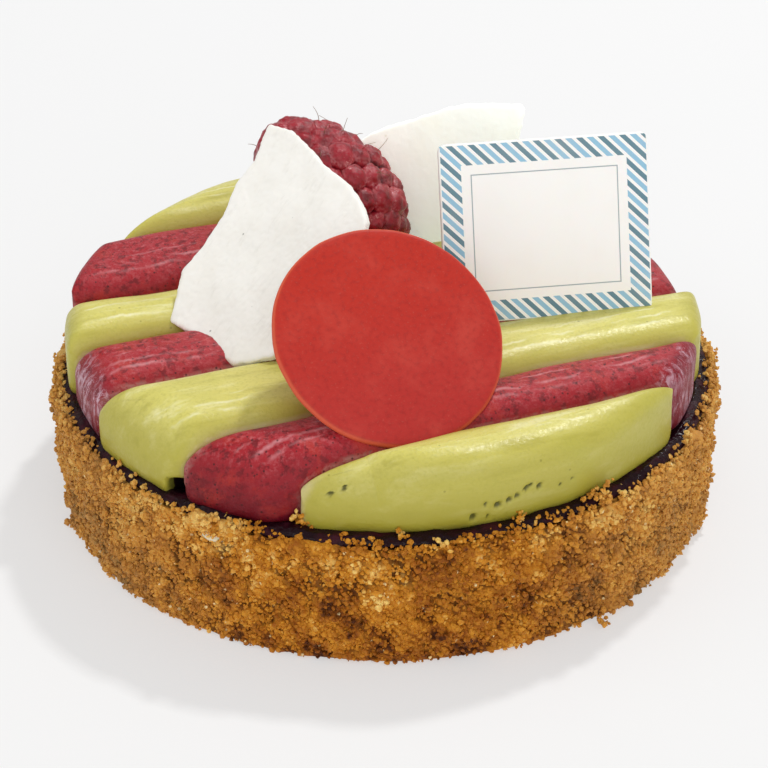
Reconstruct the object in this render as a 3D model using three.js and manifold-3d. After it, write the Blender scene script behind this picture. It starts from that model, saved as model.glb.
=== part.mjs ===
// Raspberry tart. A crumb crust holds cream and a layer of jam. Seven rounded bars in two flavours
// lie side by side across the jam, and a raspberry, two meringue shards, a chocolate disc and a
// plaque stand on the bars. Millimetres, +Z up, the origin under the middle of the crust.

import * as THREE from 'three';
import { mergeVertices } from 'three/addons/utils/BufferGeometryUtils.js';
import Module from 'manifold-3d';

const wasm = await Module();
wasm.setup();

// ---- Driving dimensions, in millimetres and degrees ----

const GAP = 0.3;                 // clearance between neighbouring pieces
const MERGE_DISTANCE = 1e-3;
const TIDY = 0.02;               // cuts leave no detail smaller than this
const BISECTIONS = 40;
const GOLDEN_ANGLE = Math.PI * (3 - Math.sqrt(5));

const CRUST = {
  footRadius: 44.5, radius: 45.2, height: 17.9, footRound: 1.0, rimRound: 0.8,
  wall: 2.0, floor: 6.0, segments: 100, wallRows: 6,
  reliefDepth: 0.6, reliefSize: 3.4, rimRelief: 0.9, rimReliefSize: 5.5,
};

// Crumbs that stand proud: their radius, how the draw favours small ones, how flat they are, and
// where they sit, from the rim's top and its outer edge, or up the wall.
const CRUMBS = {
  count: 84, seed: 11, size: [0.9, 1.8], favourSmall: 1.6, flatness: [0.7, 1.1], buried: 0.5,
  rimRise: [-0.4, 0.5], rimInset: [0.9, 1.8], wallHeight: [2.2, 15.1],
};

const CREAM_TOP = 15.3;
const LIP = {
  angle: -119.5, radius: 43.4, z: 15.6, length: 2.6, breadth: 1.7, height: 1.2, columns: 12, rows: 8,
};
const JAM_TOP = 17.2;
const LAYER = { edge: 0.3, segments: 64 };

// spineEnd is the share of the bar's half width that is left where its spine ends, endFall how late
// the roundness of the ends sets in, endSpread the most of a ray that its shoulder may take, and
// cornerInset how far short of the bar's corners the spine stops.
const BAR = {
  bottom: 17.6, shoulder: 3.6, footInset: 1.0, footRise: 1.3, leastWall: 0.4, cornerRound: 1.8,
  crown: 0.5, spineEnd: 0.55, endFall: 4, endSpread: 0.8,
  sideColumns: 12, shoulderSteps: 3, cornerSplay: 6, cornerInset: 1.6,
};
const BAR_DIRECTION = 21.5;      // turn of the bars from +X towards +Y
const SEAM_WAVE = { height: 0.25, length: 27, shift: 2.1 };
const SEAM_ENDS = 40;            // distance along the bars at which a seam's two places are given

// Where each seam lies across the bars, at their left and right ends, front to back.
const SEAMS = [
  [-44, -44], [-33.4, -32.0], [-22.5, -22.6], [-6.7, -10.7],
  [5.8, 3.0], [16.9, 15.2], [31.2, 28.8], [44, 44],
];

// Each bar from the front: its top, how far its left and right ends reach from the middle of the
// tart, and how round those ends are beside the shoulder of its sides.
const BARS = [
  { flavour: 'pistachio', top: 28.6, reach: [42.0, 42.8], softness: [2.1, 0.7] },
  { flavour: 'raspberry', top: 28.6, reach: [43.2, 42.2], softness: [2.2, 0.9] },
  { flavour: 'pistachio', top: 28.3, reach: [43.3, 42.4], softness: [1.9, 0.6] },
  { flavour: 'raspberry', top: 27.4, reach: [42.6, 40.8], softness: [1.3, 0.8] },
  { flavour: 'pistachio', top: 27.8, reach: [43.2, 42.4], softness: [0.8, 0.8] },
  { flavour: 'raspberry', top: 28.9, reach: [42.8, 42.4], softness: [0.4, 1.0] },
  { flavour: 'pistachio', top: 29.3, reach: [42.6, 42.6], softness: [1.2, 1.0] },
];

const DISC = {
  radius: 15.0, thickness: 1.2, rimRound: 0.45, segments: 48,
  centre: [0.35, -23.1, 35.1], turn: 24.3, lean: 52,
};
const PLAQUE = {
  width: 28.0, height: 23.9, thickness: 1.1, corner: 1.0,
  foot: [8.0, -6.7, 27.5], turn: 8.7, lean: 20,
};
const SHARD_THICKNESS = 1.2;
const FRONT_SHARD = {
  foot: [-28.6, -3.6, 26.0], turn: -52.1, lean: 46.9,
  outline: [
    [-0.1, 0], [-1.6, 3.1], [-3.7, 6.6], [-3.2, 10.6], [-3.4, 15.6], [-5.1, 20.2], [-4.9, 24.5],
    [-6.7, 29.2], [-6.4, 29.8], [-2.3, 30.5], [1.1, 30.0], [6.9, 28.7], [12.4, 28.2], [16.2, 27.0],
    [19.1, 25.4], [20.4, 23.6], [19.7, 3.9], [14.6, 0], [9.7, 0.2], [6.3, 0.7], [3.0, 0.2],
  ],
};
const BACK_SHARD = {
  foot: [-2, 22.8, 26.0], turn: -26.6, lean: 5,
  outline: [
    [-3.4, -0.6], [-4.0, 8.5], [-2.1, 13.6], [0.7, 15.7], [3.3, 17.0], [7.5, 19.1], [11.2, 21.1],
    [14.1, 22.1], [17.1, 22.8], [21.6, 23.5], [22.2, 22.8], [21.7, 18.5], [20.6, 9.0], [20.2, -0.6],
  ],
};
const RASPBERRY = {
  centre: [-7.35, 15.75, 36.25], halfLength: 12.5, radius: 8.2, axis: [0.764, -0.146, -0.627],
  drupelets: 58, bump: 0.85, domeReach: 1.35, detail: 6, slotDetail: 4,
};

// ---- Finishes ----

const crumb = new THREE.MeshStandardMaterial({ color: 0xc08a3c, roughness: 0.95 });
const cream = new THREE.MeshStandardMaterial({ color: 0xeee6cf, roughness: 0.7 });
const jam = new THREE.MeshStandardMaterial({ color: 0x3a0f1c, roughness: 0.2 });
const pistachioIce = new THREE.MeshStandardMaterial({ color: 0xc9c768, roughness: 0.35 });
const raspberryIce = new THREE.MeshStandardMaterial({ color: 0xa92c42, roughness: 0.35 });
const berrySkin = new THREE.MeshStandardMaterial({ color: 0x9a1c2a, roughness: 0.4 });
const meringue = new THREE.MeshStandardMaterial({ color: 0xf3f0e8, roughness: 0.85 });
const redChocolate = new THREE.MeshStandardMaterial({ color: 0xc2402f, roughness: 0.45 });
const whiteChocolate = new THREE.MeshStandardMaterial({ color: 0xf0eeea, roughness: 0.5 });

// ---- Small helpers ----

function seededRandom(seed) {
  let state = seed >>> 0;
  return () => {
    state = (Math.imul(state, 1664525) + 1013904223) >>> 0;
    return state / 4294967296;
  };
}

const draw = ([low, high], random) => THREE.MathUtils.lerp(low, high, random());

function latticeValue(x, y, z) {
  const wave = Math.sin(x * 127.1 + y * 311.7 + z * 74.7) * 43758.5453;
  return 2 * (wave - Math.floor(wave)) - 1;
}

// Smooth noise from -1 to 1, one lump for each unit of length.
function noise(x, y, z) {
  const [x0, y0, z0] = [x, y, z].map(Math.floor);
  const ease = (t) => t * t * (3 - 2 * t);
  const [fx, fy, fz] = [ease(x - x0), ease(y - y0), ease(z - z0)];
  const mix = THREE.MathUtils.lerp;
  const corner = (i, j, k) => latticeValue(x0 + i, y0 + j, z0 + k);
  const edge = (j, k) => mix(corner(0, j, k), corner(1, j, k), fx);
  return mix(mix(edge(0, 0), edge(1, 0), fy), mix(edge(0, 1), edge(1, 1), fy), fz);
}

function moveVertices(geometry, move) {
  const position = geometry.attributes.position;
  const point = new THREE.Vector3();
  for (let i = 0; i < position.count; i += 1) {
    point.fromBufferAttribute(position, i);
    move(point, i);
    position.setXYZ(i, point.x, point.y, point.z);
  }
  return geometry;
}

// A closed mesh with its shared vertices merged becomes a solid whose faces point out.
function solidFrom(geometry) {
  const bare = geometry.index ? geometry.clone() : mergeVertices(geometry.clone(), MERGE_DISTANCE);
  bare.deleteAttribute('normal');
  bare.deleteAttribute('uv');
  const merged = mergeVertices(bare, MERGE_DISTANCE);
  const index = merged.index.array;
  const corners = [];
  let volume = 0;
  const [a, b, c] = [new THREE.Vector3(), new THREE.Vector3(), new THREE.Vector3()];
  for (let i = 0; i < index.length; i += 3) {
    const [ia, ib, ic] = [index[i], index[i + 1], index[i + 2]];
    if (ia === ib || ib === ic || ic === ia) continue;
    corners.push([ia, ib, ic]);
    a.fromBufferAttribute(merged.attributes.position, ia);
    b.fromBufferAttribute(merged.attributes.position, ib);
    c.fromBufferAttribute(merged.attributes.position, ic);
    volume += a.dot(b.cross(c));
  }
  const wound = volume > 0 ? corners : corners.map(([ia, ib, ic]) => [ia, ic, ib]);
  return new wasm.Manifold(new wasm.Mesh({
    numProp: 3,
    vertProperties: Float32Array.from(merged.attributes.position.array),
    triVerts: Uint32Array.from(wound.flat()),
  }));
}

function geometryFrom(solid) {
  const mesh = solid.getMesh();
  const geometry = new THREE.BufferGeometry();
  geometry.setAttribute('position', new THREE.BufferAttribute(mesh.vertProperties, 3));
  geometry.setIndex(new THREE.BufferAttribute(mesh.triVerts, 1));
  return geometry;
}

// A body of revolution about Z from [radius, height] pairs that start and end on the axis.
function turned(pairs, segments) {
  const profile = pairs.map(([radius, height]) => new THREE.Vector2(radius, height));
  return new THREE.LatheGeometry(profile, segments).rotateX(Math.PI / 2);
}

// ---- Crust: a shallow cup of pressed crumbs ----

// Radius of the wall at a height: it draws in a little towards the foot.
function wallRadius(z) {
  const { footRadius, radius, height, footRound } = CRUST;
  const share = THREE.MathUtils.clamp((z - footRound) / (height - footRound), 0, 1);
  return THREE.MathUtils.lerp(footRadius, radius, Math.sin(share * Math.PI / 2));
}

function crustOutside() {
  const { footRadius, radius, height, footRound, rimRound, wall, wallRows, segments } = CRUST;
  const pairs = [[0, 0], [footRadius - footRound, 0]];
  for (let row = 0; row <= wallRows; row += 1) {
    const z = THREE.MathUtils.lerp(footRound, height - rimRound, row / wallRows);
    pairs.push([wallRadius(z), z]);
  }
  const bend = rimRound * (1 - Math.SQRT1_2);
  pairs.push([radius - bend, height - bend], [radius - rimRound, height]);
  pairs.push([radius - wall, height], [radius - 2 * wall, height], [0, height]);
  return moveVertices(turned(pairs, segments), roughen);
}

// Lumps on the outside of the wall and along the top of the rim; the underside stays flat.
function roughen(point) {
  const { radius, height, footRound, rimRound, wall } = CRUST;
  const { reliefSize, reliefDepth, rimRelief, rimReliefSize } = CRUST;
  const reach = Math.hypot(point.x, point.y);
  if (point.z < footRound / 2 || reach < radius - 2.5 * wall) return;
  const lump = noise(point.x / reliefSize, point.y / reliefSize, point.z / reliefSize);
  const rimLump = noise(point.x / rimReliefSize, point.y / rimReliefSize, 0);
  const swell = reach > radius - wall + rimRound ? 1 + lump * reliefDepth / reach : 1;
  point.x *= swell;
  point.y *= swell;
  point.z += rimLump * rimRelief * THREE.MathUtils.smoothstep(point.z, height / 2, height);
}

// Crumbs half sunk in the rim and in the wall by turns, by a seeded draw.
function crustCrumbs() {
  const random = seededRandom(CRUMBS.seed);
  return Array.from({ length: CRUMBS.count }, (_, i) => {
    const onRim = i % 2 === 0;
    const angle = i * GOLDEN_ANGLE + random();
    const size = draw(CRUMBS.size, () => random() ** CRUMBS.favourSmall);
    const z = onRim ? CRUST.height + draw(CRUMBS.rimRise, random) : draw(CRUMBS.wallHeight, random);
    const inset = onRim ? draw(CRUMBS.rimInset, random) : size * CRUMBS.buried;
    const reach = wallRadius(z) - inset;
    const shape = new THREE.IcosahedronGeometry(size, 0);
    shape.rotateX(random() * Math.PI).rotateZ(random() * Math.PI);
    shape.scale(...Array.from({ length: 3 }, () => draw(CRUMBS.flatness, random)));
    shape.translate(reach * Math.cos(angle), reach * Math.sin(angle), z);
    return solidFrom(shape);
  });
}

// The lip of cream that shows through the rim, or the room that the crust leaves for it.
function creamLip(clearance) {
  const shape = new THREE.SphereGeometry(1, LIP.columns, LIP.rows);
  shape.scale(LIP.breadth + clearance, LIP.length + clearance, LIP.height + clearance);
  shape.translate(LIP.radius, 0, LIP.z).rotateZ(THREE.MathUtils.degToRad(LIP.angle));
  return solidFrom(shape);
}

function largestPart(solid) {
  return solid.decompose().reduce((best, part) => (part.volume() > best.volume() ? part : best));
}

function crustSolid() {
  const { radius, height, wall, floor, segments } = CRUST;
  const inner = radius - wall;
  const widest = Math.max(...BARS.flatMap((bar) => bar.reach)) + 2 * GAP;
  const hollow = turned([
    [0, floor], [inner, floor], [inner, BAR.bottom], [widest, BAR.bottom + BAR.footRise / 2],
    [widest, 2 * height], [0, 2 * height],
  ], segments / 2);
  let solid = solidFrom(crustOutside());
  for (const piece of crustCrumbs()) solid = solid.add(piece);
  return largestPart(solid.subtract(solidFrom(hollow)).subtract(creamLip(GAP)));
}

// ---- Fillings: cream, and jam on top of it ----

function layer(bottom, top) {
  const reach = CRUST.radius - CRUST.wall - GAP;
  const bevel = [[reach, top - LAYER.edge], [reach - LAYER.edge, top]];
  return solidFrom(turned([[0, bottom], [reach, bottom], ...bevel, [0, top]], LAYER.segments));
}

function creamSolid() {
  return layer(CRUST.floor + GAP, CREAM_TOP).add(creamLip(0));
}

function jamSolid() {
  return layer(CREAM_TOP + GAP, JAM_TOP).subtract(creamLip(GAP));
}

// ---- Bars: in plan, a strip between two seams, cut to the circle of the tart ----

// A value given at the left and the right end of the bars, between them.
const between = (ends, along) => THREE.MathUtils.lerp(...ends, (along / SEAM_ENDS + 1) / 2);

function seamAt(seam, along) {
  const { height, length, shift } = SEAM_WAVE;
  return between(SEAMS[seam], along) + height * Math.sin(2 * Math.PI * along / length + shift * seam);
}

// How far a point of the plan lies outside bar number i, its corners rounded; negative inside.
function outsideBar(i, along, across) {
  const round = BAR.cornerRound;
  const sides = [
    seamAt(i, along) + GAP / 2 - across,
    across - seamAt(i + 1, along) + GAP / 2,
    Math.hypot(along, across) - between(BARS[i].reach, along),
  ];
  const overlap = sides.map((side) => Math.max(side + round, 0));
  return Math.min(Math.max(...sides), -round) + Math.hypot(...overlap);
}

// The largest distance, up to a limit, at which a test that fails further out still holds.
function furthest(limit, holds) {
  let [near, far] = [0, limit];
  for (let step = 0; step < BISECTIONS; step += 1) {
    const middle = (near + far) / 2;
    if (holds(middle)) near = middle;
    else far = middle;
  }
  return near;
}

// The middle of bar number i across its width, where the circle also bounds it.
function spineAcross(i, along) {
  const reach = between(BARS[i].reach, along);
  const half = Math.sqrt(Math.max(reach ** 2 - along ** 2, 0));
  const inside = (seam) => THREE.MathUtils.clamp(seamAt(seam, along), -half, half);
  return (inside(i) + inside(i + 1)) / 2;
}

const depthAtSpine = (i, along) => -outsideBar(i, along, spineAcross(i, along));

// How far along the bar a seam meets the circle on one side; 0 for the first and the last seam,
// which never meet it.
function cornerAt(i, seam, sign) {
  const reach = between(BARS[i].reach, sign * SEAM_ENDS);
  return furthest(reach, (along) => Math.hypot(along, seamAt(seam, sign * along)) < reach);
}

// Where the spine ends on one side, short of the bar's end by a share of its half width, and short
// of both corners.
function spineEnd(i, sign) {
  const enough = BAR.spineEnd * depthAtSpine(i, 0);
  const wide = furthest(SEAM_ENDS, (distance) => depthAtSpine(i, sign * distance) > enough);
  const corners = [i, i + 1].map((seam) => cornerAt(i, seam, sign)).filter((along) => along > wide / 2);
  return sign * Math.min(wide, ...corners.map((along) => along - BAR.cornerInset));
}

// The tilt from the spine's line to a corner, or half a right angle where there is none.
function cornerTilt(i, seam, start, sign) {
  const corner = cornerAt(i, seam, sign);
  if (corner < MERGE_DISTANCE) return Math.PI / 4;
  return Math.atan2(Math.abs(seamAt(seam, sign * corner) - start.y), corner - Math.abs(start.x));
}

// A line in plan from the spine to the outline, at a tilt from the way to the end.
function rayFrom(i, start, tilt, sign) {
  const heading = new THREE.Vector2(-sign * Math.cos(tilt), sign * Math.sin(tilt));
  const outside = (step) => outsideBar(i, start.x + heading.x * step, start.y + heading.y * step);
  return { start, heading, length: furthest(2 * SEAM_ENDS, (step) => outside(step) < 0) };
}

// Tilts on one side of a bar's end, down from a right angle: two of them lie beside the corner.
function endTilts(corner) {
  const right = Math.PI / 2;
  const splay = Math.min(THREE.MathUtils.degToRad(BAR.cornerSplay), (right - corner) / 3, corner / 3);
  return [right, (right + corner + splay) / 2, corner + splay, corner - splay, (corner - splay) / 2];
}

// Lines from the bar's spine to its outline:
// back along one side, round one end, along the other side and round the other end.
function barRays(i) {
  const rays = [];
  for (const sign of [1, -1]) {
    const [from, to] = [spineEnd(i, sign), spineEnd(i, -sign)];
    for (let k = 0; k < BAR.sideColumns; k += 1) {
      const along = THREE.MathUtils.lerp(from, to, k / BAR.sideColumns);
      const start = new THREE.Vector2(along, spineAcross(i, along));
      rays.push(rayFrom(i, start, Math.PI / 2, sign));
    }
    const start = new THREE.Vector2(to, spineAcross(i, to));
    const [near, far] = sign > 0 ? [i + 1, i] : [i, i + 1];
    const toCorner = (seam) => endTilts(cornerTilt(i, seam, start, -sign));
    const [, ...back] = toCorner(far).map((tilt) => -tilt);
    for (const tilt of [...toCorner(near), 0, ...back.reverse()]) {
      rays.push(rayFrom(i, start, tilt, sign));
    }
  }
  return rays;
}

// How round the edge of the bar's top is at a place along it: a soft end has a larger shoulder
// than the sides, and a crisp one a smaller.
function shoulderAt(i, along) {
  const { bottom, footRise, leastWall, shoulder, crown, endFall } = BAR;
  const end = Math.abs(spineEnd(i, along < 0 ? -1 : 1));
  const nearEnd = Math.min(Math.abs(along) / end, 1) ** endFall;
  const softness = THREE.MathUtils.lerp(1, BARS[i].softness[along < 0 ? 0 : 1], nearEnd);
  return Math.min(shoulder * softness, BARS[i].top - crown - bottom - footRise - leastWall);
}

// How far a rounded edge has fallen at a depth inside it.
function fallAt(round, depth) {
  const short = Math.max(round - Math.max(depth, 0), 0);
  return round - Math.sqrt(round ** 2 - short ** 2);
}

// How far a point of the bar's plan lies inside its seams, and inside the reach of its ends.
function depthsAt(i, along, across) {
  return {
    side: Math.min(across - seamAt(i, along), seamAt(i + 1, along) - across) - GAP / 2,
    end: between(BARS[i].reach, along) - Math.hypot(along, across),
  };
}

// Height of the bar's top over a point of its plan: it rounds over its seams by the shoulder and
// over its ends by their own softness, with a slight crown along the middle.
function topAt(i, along, across) {
  const { bottom, footRise, leastWall, shoulder, crown } = BAR;
  const { side, end } = depthsAt(i, along, across);
  const fall = Math.hypot(fallAt(shoulder, side), fallAt(shoulderAt(i, along), end));
  const swell = crown * THREE.MathUtils.smoothstep(-outsideBar(i, along, across), 0, 2 * shoulder);
  return Math.max(BARS[i].top - crown - fall, bottom + footRise + leastWall) + swell;
}

// Places along one line from the middle of the underside out, up the side and over the shoulder
// to the spine: the distance from the spine, and the height where it isn't the top's.
function skinPlaces(i, { start, heading, length }) {
  const { bottom, footInset, footRise, shoulderSteps, endSpread } = BAR;
  const tip = { x: start.x + heading.x * length, y: start.y + heading.y * length };
  const { side, end } = depthsAt(i, tip.x, tip.y);
  const round = side < end ? BAR.shoulder : shoulderAt(i, tip.x);
  const room = Math.min(round, endSpread * length);
  const over = Array.from({ length: shoulderSteps + 1 }, (_, step) => {
    const turn = Math.PI / 2 * step / shoulderSteps;
    return { distance: length - room * (1 - Math.cos(turn)) };
  });
  return [
    { distance: 0, z: bottom }, { distance: length - footInset, z: bottom },
    { distance: length, z: bottom + footRise }, ...over, { distance: 0 },
  ];
}

function barSolid(i) {
  const skin = barRays(i).map((ray) => skinPlaces(i, ray).map(({ distance, z }) => {
    const along = ray.start.x + ray.heading.x * distance;
    const across = ray.start.y + ray.heading.y * distance;
    return new THREE.Vector3(along, across, z ?? topAt(i, along, across));
  }));
  const grid = new THREE.PlaneGeometry(1, 1, skin.length, skin[0].length - 1);
  moveVertices(grid, (point, index) => {
    const column = index % (skin.length + 1) % skin.length;
    point.copy(skin[column][Math.floor(index / (skin.length + 1))]);
  });
  return solidFrom(grid.rotateZ(THREE.MathUtils.degToRad(BAR_DIRECTION)));
}

// ---- Flat garnishes: each drawn upright, then leant back and turned ----

// Local X runs along the foot, local Y up the face, local Z towards the viewer.
function standUp(geometry, place, lean, turn) {
  geometry.rotateX(THREE.MathUtils.degToRad(90 - lean));
  return geometry.rotateZ(THREE.MathUtils.degToRad(turn)).translate(...place);
}

// A flat piece of even thickness, grown all round by a margin where it is used to cut a slot.
function plate(shape, thickness, margin) {
  const geometry = new THREE.ExtrudeGeometry(shape, {
    depth: thickness, steps: 1, curveSegments: 3,
    bevelEnabled: margin > 0, bevelSize: margin, bevelThickness: margin, bevelSegments: 1,
  });
  return geometry.translate(0, 0, -thickness / 2);
}

function shardSolid({ foot, turn, lean, outline }, margin = 0) {
  const shape = new THREE.Shape(outline.map(([x, y]) => new THREE.Vector2(x, y)));
  return solidFrom(standUp(plate(shape, SHARD_THICKNESS, margin), foot, lean, turn));
}

function plaqueSolid(margin = 0) {
  const { width, height, corner, thickness, foot, lean, turn } = PLAQUE;
  const shape = new THREE.Shape();
  shape.moveTo(corner, 0);
  shape.absarc(width - corner, corner, corner, -Math.PI / 2, 0, false);
  shape.absarc(width - corner, height - corner, corner, 0, Math.PI / 2, false);
  shape.absarc(corner, height - corner, corner, Math.PI / 2, Math.PI, false);
  shape.absarc(corner, corner, corner, Math.PI, 1.5 * Math.PI, false);
  return solidFrom(standUp(plate(shape, thickness, margin), foot, lean, turn));
}

function discSolid(margin = 0) {
  const { radius, thickness, rimRound, segments, centre, lean, turn } = DISC;
  const [reach, half] = [radius + margin, thickness / 2 + margin];
  const shape = turned([
    [0, -half], [reach - rimRound, -half], [reach, rimRound - half],
    [reach, half - rimRound], [reach - rimRound, half], [0, half],
  ], segments);
  return solidFrom(standUp(shape, centre, lean, turn));
}

// ---- Raspberry: a blunt egg covered in drupelets, set along its axis ----

// Points spread evenly over a unit sphere.
function drupeletCentres() {
  return Array.from({ length: RASPBERRY.drupelets }, (_, i) => {
    const height = 1 - (2 * i + 1) / RASPBERRY.drupelets;
    const ring = Math.sqrt(1 - height * height);
    const turn = i * GOLDEN_ANGLE;
    return new THREE.Vector3(ring * Math.cos(turn), ring * Math.sin(turn), height);
  });
}

function raspberrySolid(margin = 0) {
  const { centre, halfLength, radius, axis, bump, domeReach, drupelets } = RASPBERRY;
  const centres = drupeletCentres();
  const spacing = Math.sqrt(4 * Math.PI / drupelets) / 2;
  const detail = margin > 0 ? RASPBERRY.slotDetail : RASPBERRY.detail;
  const shape = new THREE.IcosahedronGeometry(1, detail);
  moveVertices(shape, (point) => {
    point.normalize();
    const nearest = Math.min(...centres.map((c) => c.distanceTo(point)));
    const dome = Math.sqrt(Math.max(0, 1 - (nearest / (domeReach * spacing)) ** 2));
    const depth = margin > 0 ? margin : bump * (dome - 1);
    point.set(point.x * (radius + depth), point.y * (radius + depth), point.z * (halfLength + depth));
  });
  const along = new THREE.Vector3(...axis).normalize();
  shape.applyQuaternion(new THREE.Quaternion().setFromUnitVectors(new THREE.Vector3(0, 0, 1), along));
  return solidFrom(shape.translate(...centre));
}

// ---- The tart ----

const tart = new THREE.Group();

function addPiece(name, solid, material) {
  const mesh = new THREE.Mesh(geometryFrom(solid.simplify(TIDY)), material);
  mesh.name = name;
  tart.add(mesh);
}

addPiece('crust', crustSolid(), crumb);
addPiece('cream_filling', creamSolid(), cream);
addPiece('jam_layer', jamSolid(), jam);

const slots = [
  discSolid(GAP), plaqueSolid(GAP), raspberrySolid(GAP),
  shardSolid(FRONT_SHARD, GAP), shardSolid(BACK_SHARD, GAP),
];
BARS.forEach(({ flavour }, i) => {
  const bar = slots.reduce((solid, slot) => solid.subtract(slot), barSolid(i));
  const material = flavour === 'pistachio' ? pistachioIce : raspberryIce;
  addPiece(`${flavour}_bar_${Math.floor(i / 2) + 1}`, largestPart(bar), material);
});

addPiece('raspberry', raspberrySolid(), berrySkin);
addPiece('meringue_shard_front', shardSolid(FRONT_SHARD), meringue);
addPiece('meringue_shard_back', shardSolid(BACK_SHARD), meringue);
addPiece('chocolate_disc', discSolid(), redChocolate);
addPiece('plaque', plaqueSolid(), whiteChocolate);

export default tart;
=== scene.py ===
"""Raspberry tart: detailed pieces and materials over its CAD frame, with a floor, lights and a camera.

Sizes in the tables below are in millimetres. Meshes are moved into metres as they are made.
"""

import math
from functools import partial

import bmesh
import bpy
import numpy as np
from mathutils import Matrix, Vector, noise


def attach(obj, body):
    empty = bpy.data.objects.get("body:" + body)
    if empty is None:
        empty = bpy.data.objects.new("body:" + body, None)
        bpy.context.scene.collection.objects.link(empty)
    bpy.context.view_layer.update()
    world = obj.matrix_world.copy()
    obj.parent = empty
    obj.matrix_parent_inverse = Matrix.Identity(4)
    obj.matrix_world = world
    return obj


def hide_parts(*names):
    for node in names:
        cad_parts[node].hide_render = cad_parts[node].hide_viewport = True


bl_info = {
    "name": "Raspberry tart",
    "version": (1, 0, 0),
    "blender": (4, 5, 0),
    "location": "3D View > Sidebar > Tart",
    "description": "Builds a raspberry tart piece by piece",
    "category": "Add Mesh",
}

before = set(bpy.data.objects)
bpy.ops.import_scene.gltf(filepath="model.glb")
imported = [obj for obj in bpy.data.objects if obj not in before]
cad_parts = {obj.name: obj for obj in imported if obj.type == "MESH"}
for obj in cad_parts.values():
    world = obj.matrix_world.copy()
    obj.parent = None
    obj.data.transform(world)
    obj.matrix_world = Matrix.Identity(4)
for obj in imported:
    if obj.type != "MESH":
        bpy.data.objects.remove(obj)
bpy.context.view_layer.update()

MM = 0.001
# Steps that spread places evenly: round a circle, and along a line of length 1.
GOLDEN_ANGLE = math.pi * (3 - math.sqrt(5))
EVEN_STEP = 0.7548776662

# What a node of each kind does here unless it is told otherwise.
USUAL = {
    "MapRange": {"interpolation_type": "SMOOTHSTEP"},
    "Math": {"operation": "MULTIPLY"},
    "Mix": {"data_type": "RGBA"},
}

# ---- Sizes shared with the CAD solids, in millimetres ----

FOOT_ROUND = 1.0
FOOT_RADIUS = 44.5
CREAM_TOP = 15.3
JAM_TOP = 17.2
GAP = 0.3
# Radius and height of the wet ridge that the jam makes between the bars and the rim.
JAM_BRIM = (
    (43.9, 17.4), (44.0, 17.8), (43.7, 18.2), (43.1, 18.5), (42.3, 18.5), (41.5, 18.2), (40.7, 17.6),
    (39.6, JAM_TOP),
)
LIP = {"angle": -119.5, "radius": 43.6, "z": 15.5, "size": (1.2, 2.3, 0.9)}

BAR_DIRECTION = math.radians(21.5)
ALONG_BARS = (0, 0, -BAR_DIRECTION)
SEAM_ENDS = 40.0
SEAM_WAVE = {"height": 0.25, "length": 27.0, "shift": 2.1}
SEAMS = (
    (-44, -44), (-33.4, -32.0), (-22.5, -22.6), (-6.7, -10.7),
    (5.8, 3.0), (16.9, 15.2), (31.2, 28.8), (44, 44),
)
BAR = {
    "bottom": 17.6, "foot_inset": 1.7, "foot_rise": 2.3, "least_height": 1.7,
    "corner_round": 1.8, "crown": 0.5, "spine_end": 0.55, "end_fall": 4, "end_spread": 0.8,
    "corner_inset": 1.6,
}

# Front to back: node, top, how far the left and right ends reach, how round those ends are.
BARS = (
    ("pistachio_bar_1", 28.6, (42.0, 42.8), (2.1, 0.7)),
    ("raspberry_bar_1", 28.6, (43.2, 42.2), (2.2, 0.9)),
    ("pistachio_bar_2", 28.3, (43.3, 42.4), (1.9, 0.6)),
    ("raspberry_bar_2", 27.4, (42.6, 40.8), (1.3, 0.8)),
    ("pistachio_bar_3", 27.8, (43.2, 42.4), (0.8, 0.8)),
    ("raspberry_bar_3", 28.9, (42.8, 42.4), (0.4, 1.0)),
    ("pistachio_bar_4", 29.3, (42.6, 42.6), (1.2, 1.0)),
)

DISC = {"radius": 15.0, "centre": (0.35, -23.1, 35.1), "turn": 24.3, "lean": 52}
PLAQUE = {"width": 28.0, "height": 23.9, "foot": (8.0, -6.7, 27.5), "turn": 8.7, "lean": 20}
# Length of one pair of the plaque's stripes, and how far its thin frame lies from the edge.
STRIPE = 2.9
FRAME_INSET = 4.2
FRONT_SHARD = {
    "foot": (-28.6, -3.6, 26.0), "turn": -52.1, "lean": 46.9,
    "outline": (
        (-0.1, 0), (-1.6, 3.1), (-3.7, 6.6), (-3.2, 10.6), (-3.4, 15.6), (-5.1, 20.2),
        (-4.9, 24.5), (-6.7, 29.2), (-6.4, 29.8), (-2.3, 30.5), (1.1, 30.0), (6.9, 28.7),
        (12.4, 28.2), (16.2, 27.0), (19.1, 25.4), (20.4, 23.6), (19.7, 3.9), (14.6, 0),
        (9.7, 0.2), (6.3, 0.7), (3.0, 0.2),
    ),
}
BACK_SHARD = {
    "foot": (-2, 22.8, 26.0), "turn": -26.6, "lean": 5,
    "outline": (
        (-3.4, -0.6), (-4.0, 8.5), (-2.1, 13.6), (0.7, 15.7), (3.3, 17.0), (7.5, 19.1),
        (11.2, 21.1), (14.1, 22.1), (17.1, 22.8), (21.6, 23.5), (22.2, 22.8), (21.7, 18.5),
        (20.6, 9.0), (20.2, -0.6),
    ),
}
BERRY = {
    "centre": (-7.35, 15.75, 36.25), "reach": np.array([8.2, 8.2, 12.5]), "axis": (0.764, -0.146, -0.627),
}

# Crumbs that lie one by one on the wall: name, seed, radii, how deep they are sunk in it as a part of
# their radius, the angle they start from and how far they stray.
WALL_CRUMBS = (
    ("fine_crumbs", 3, (0.15, 0.32), -0.1, 0.3, 0.12),
    ("medium_crumbs", 4, (0.26, 0.5), 0.3, 1.7, 0.1),
)

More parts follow.
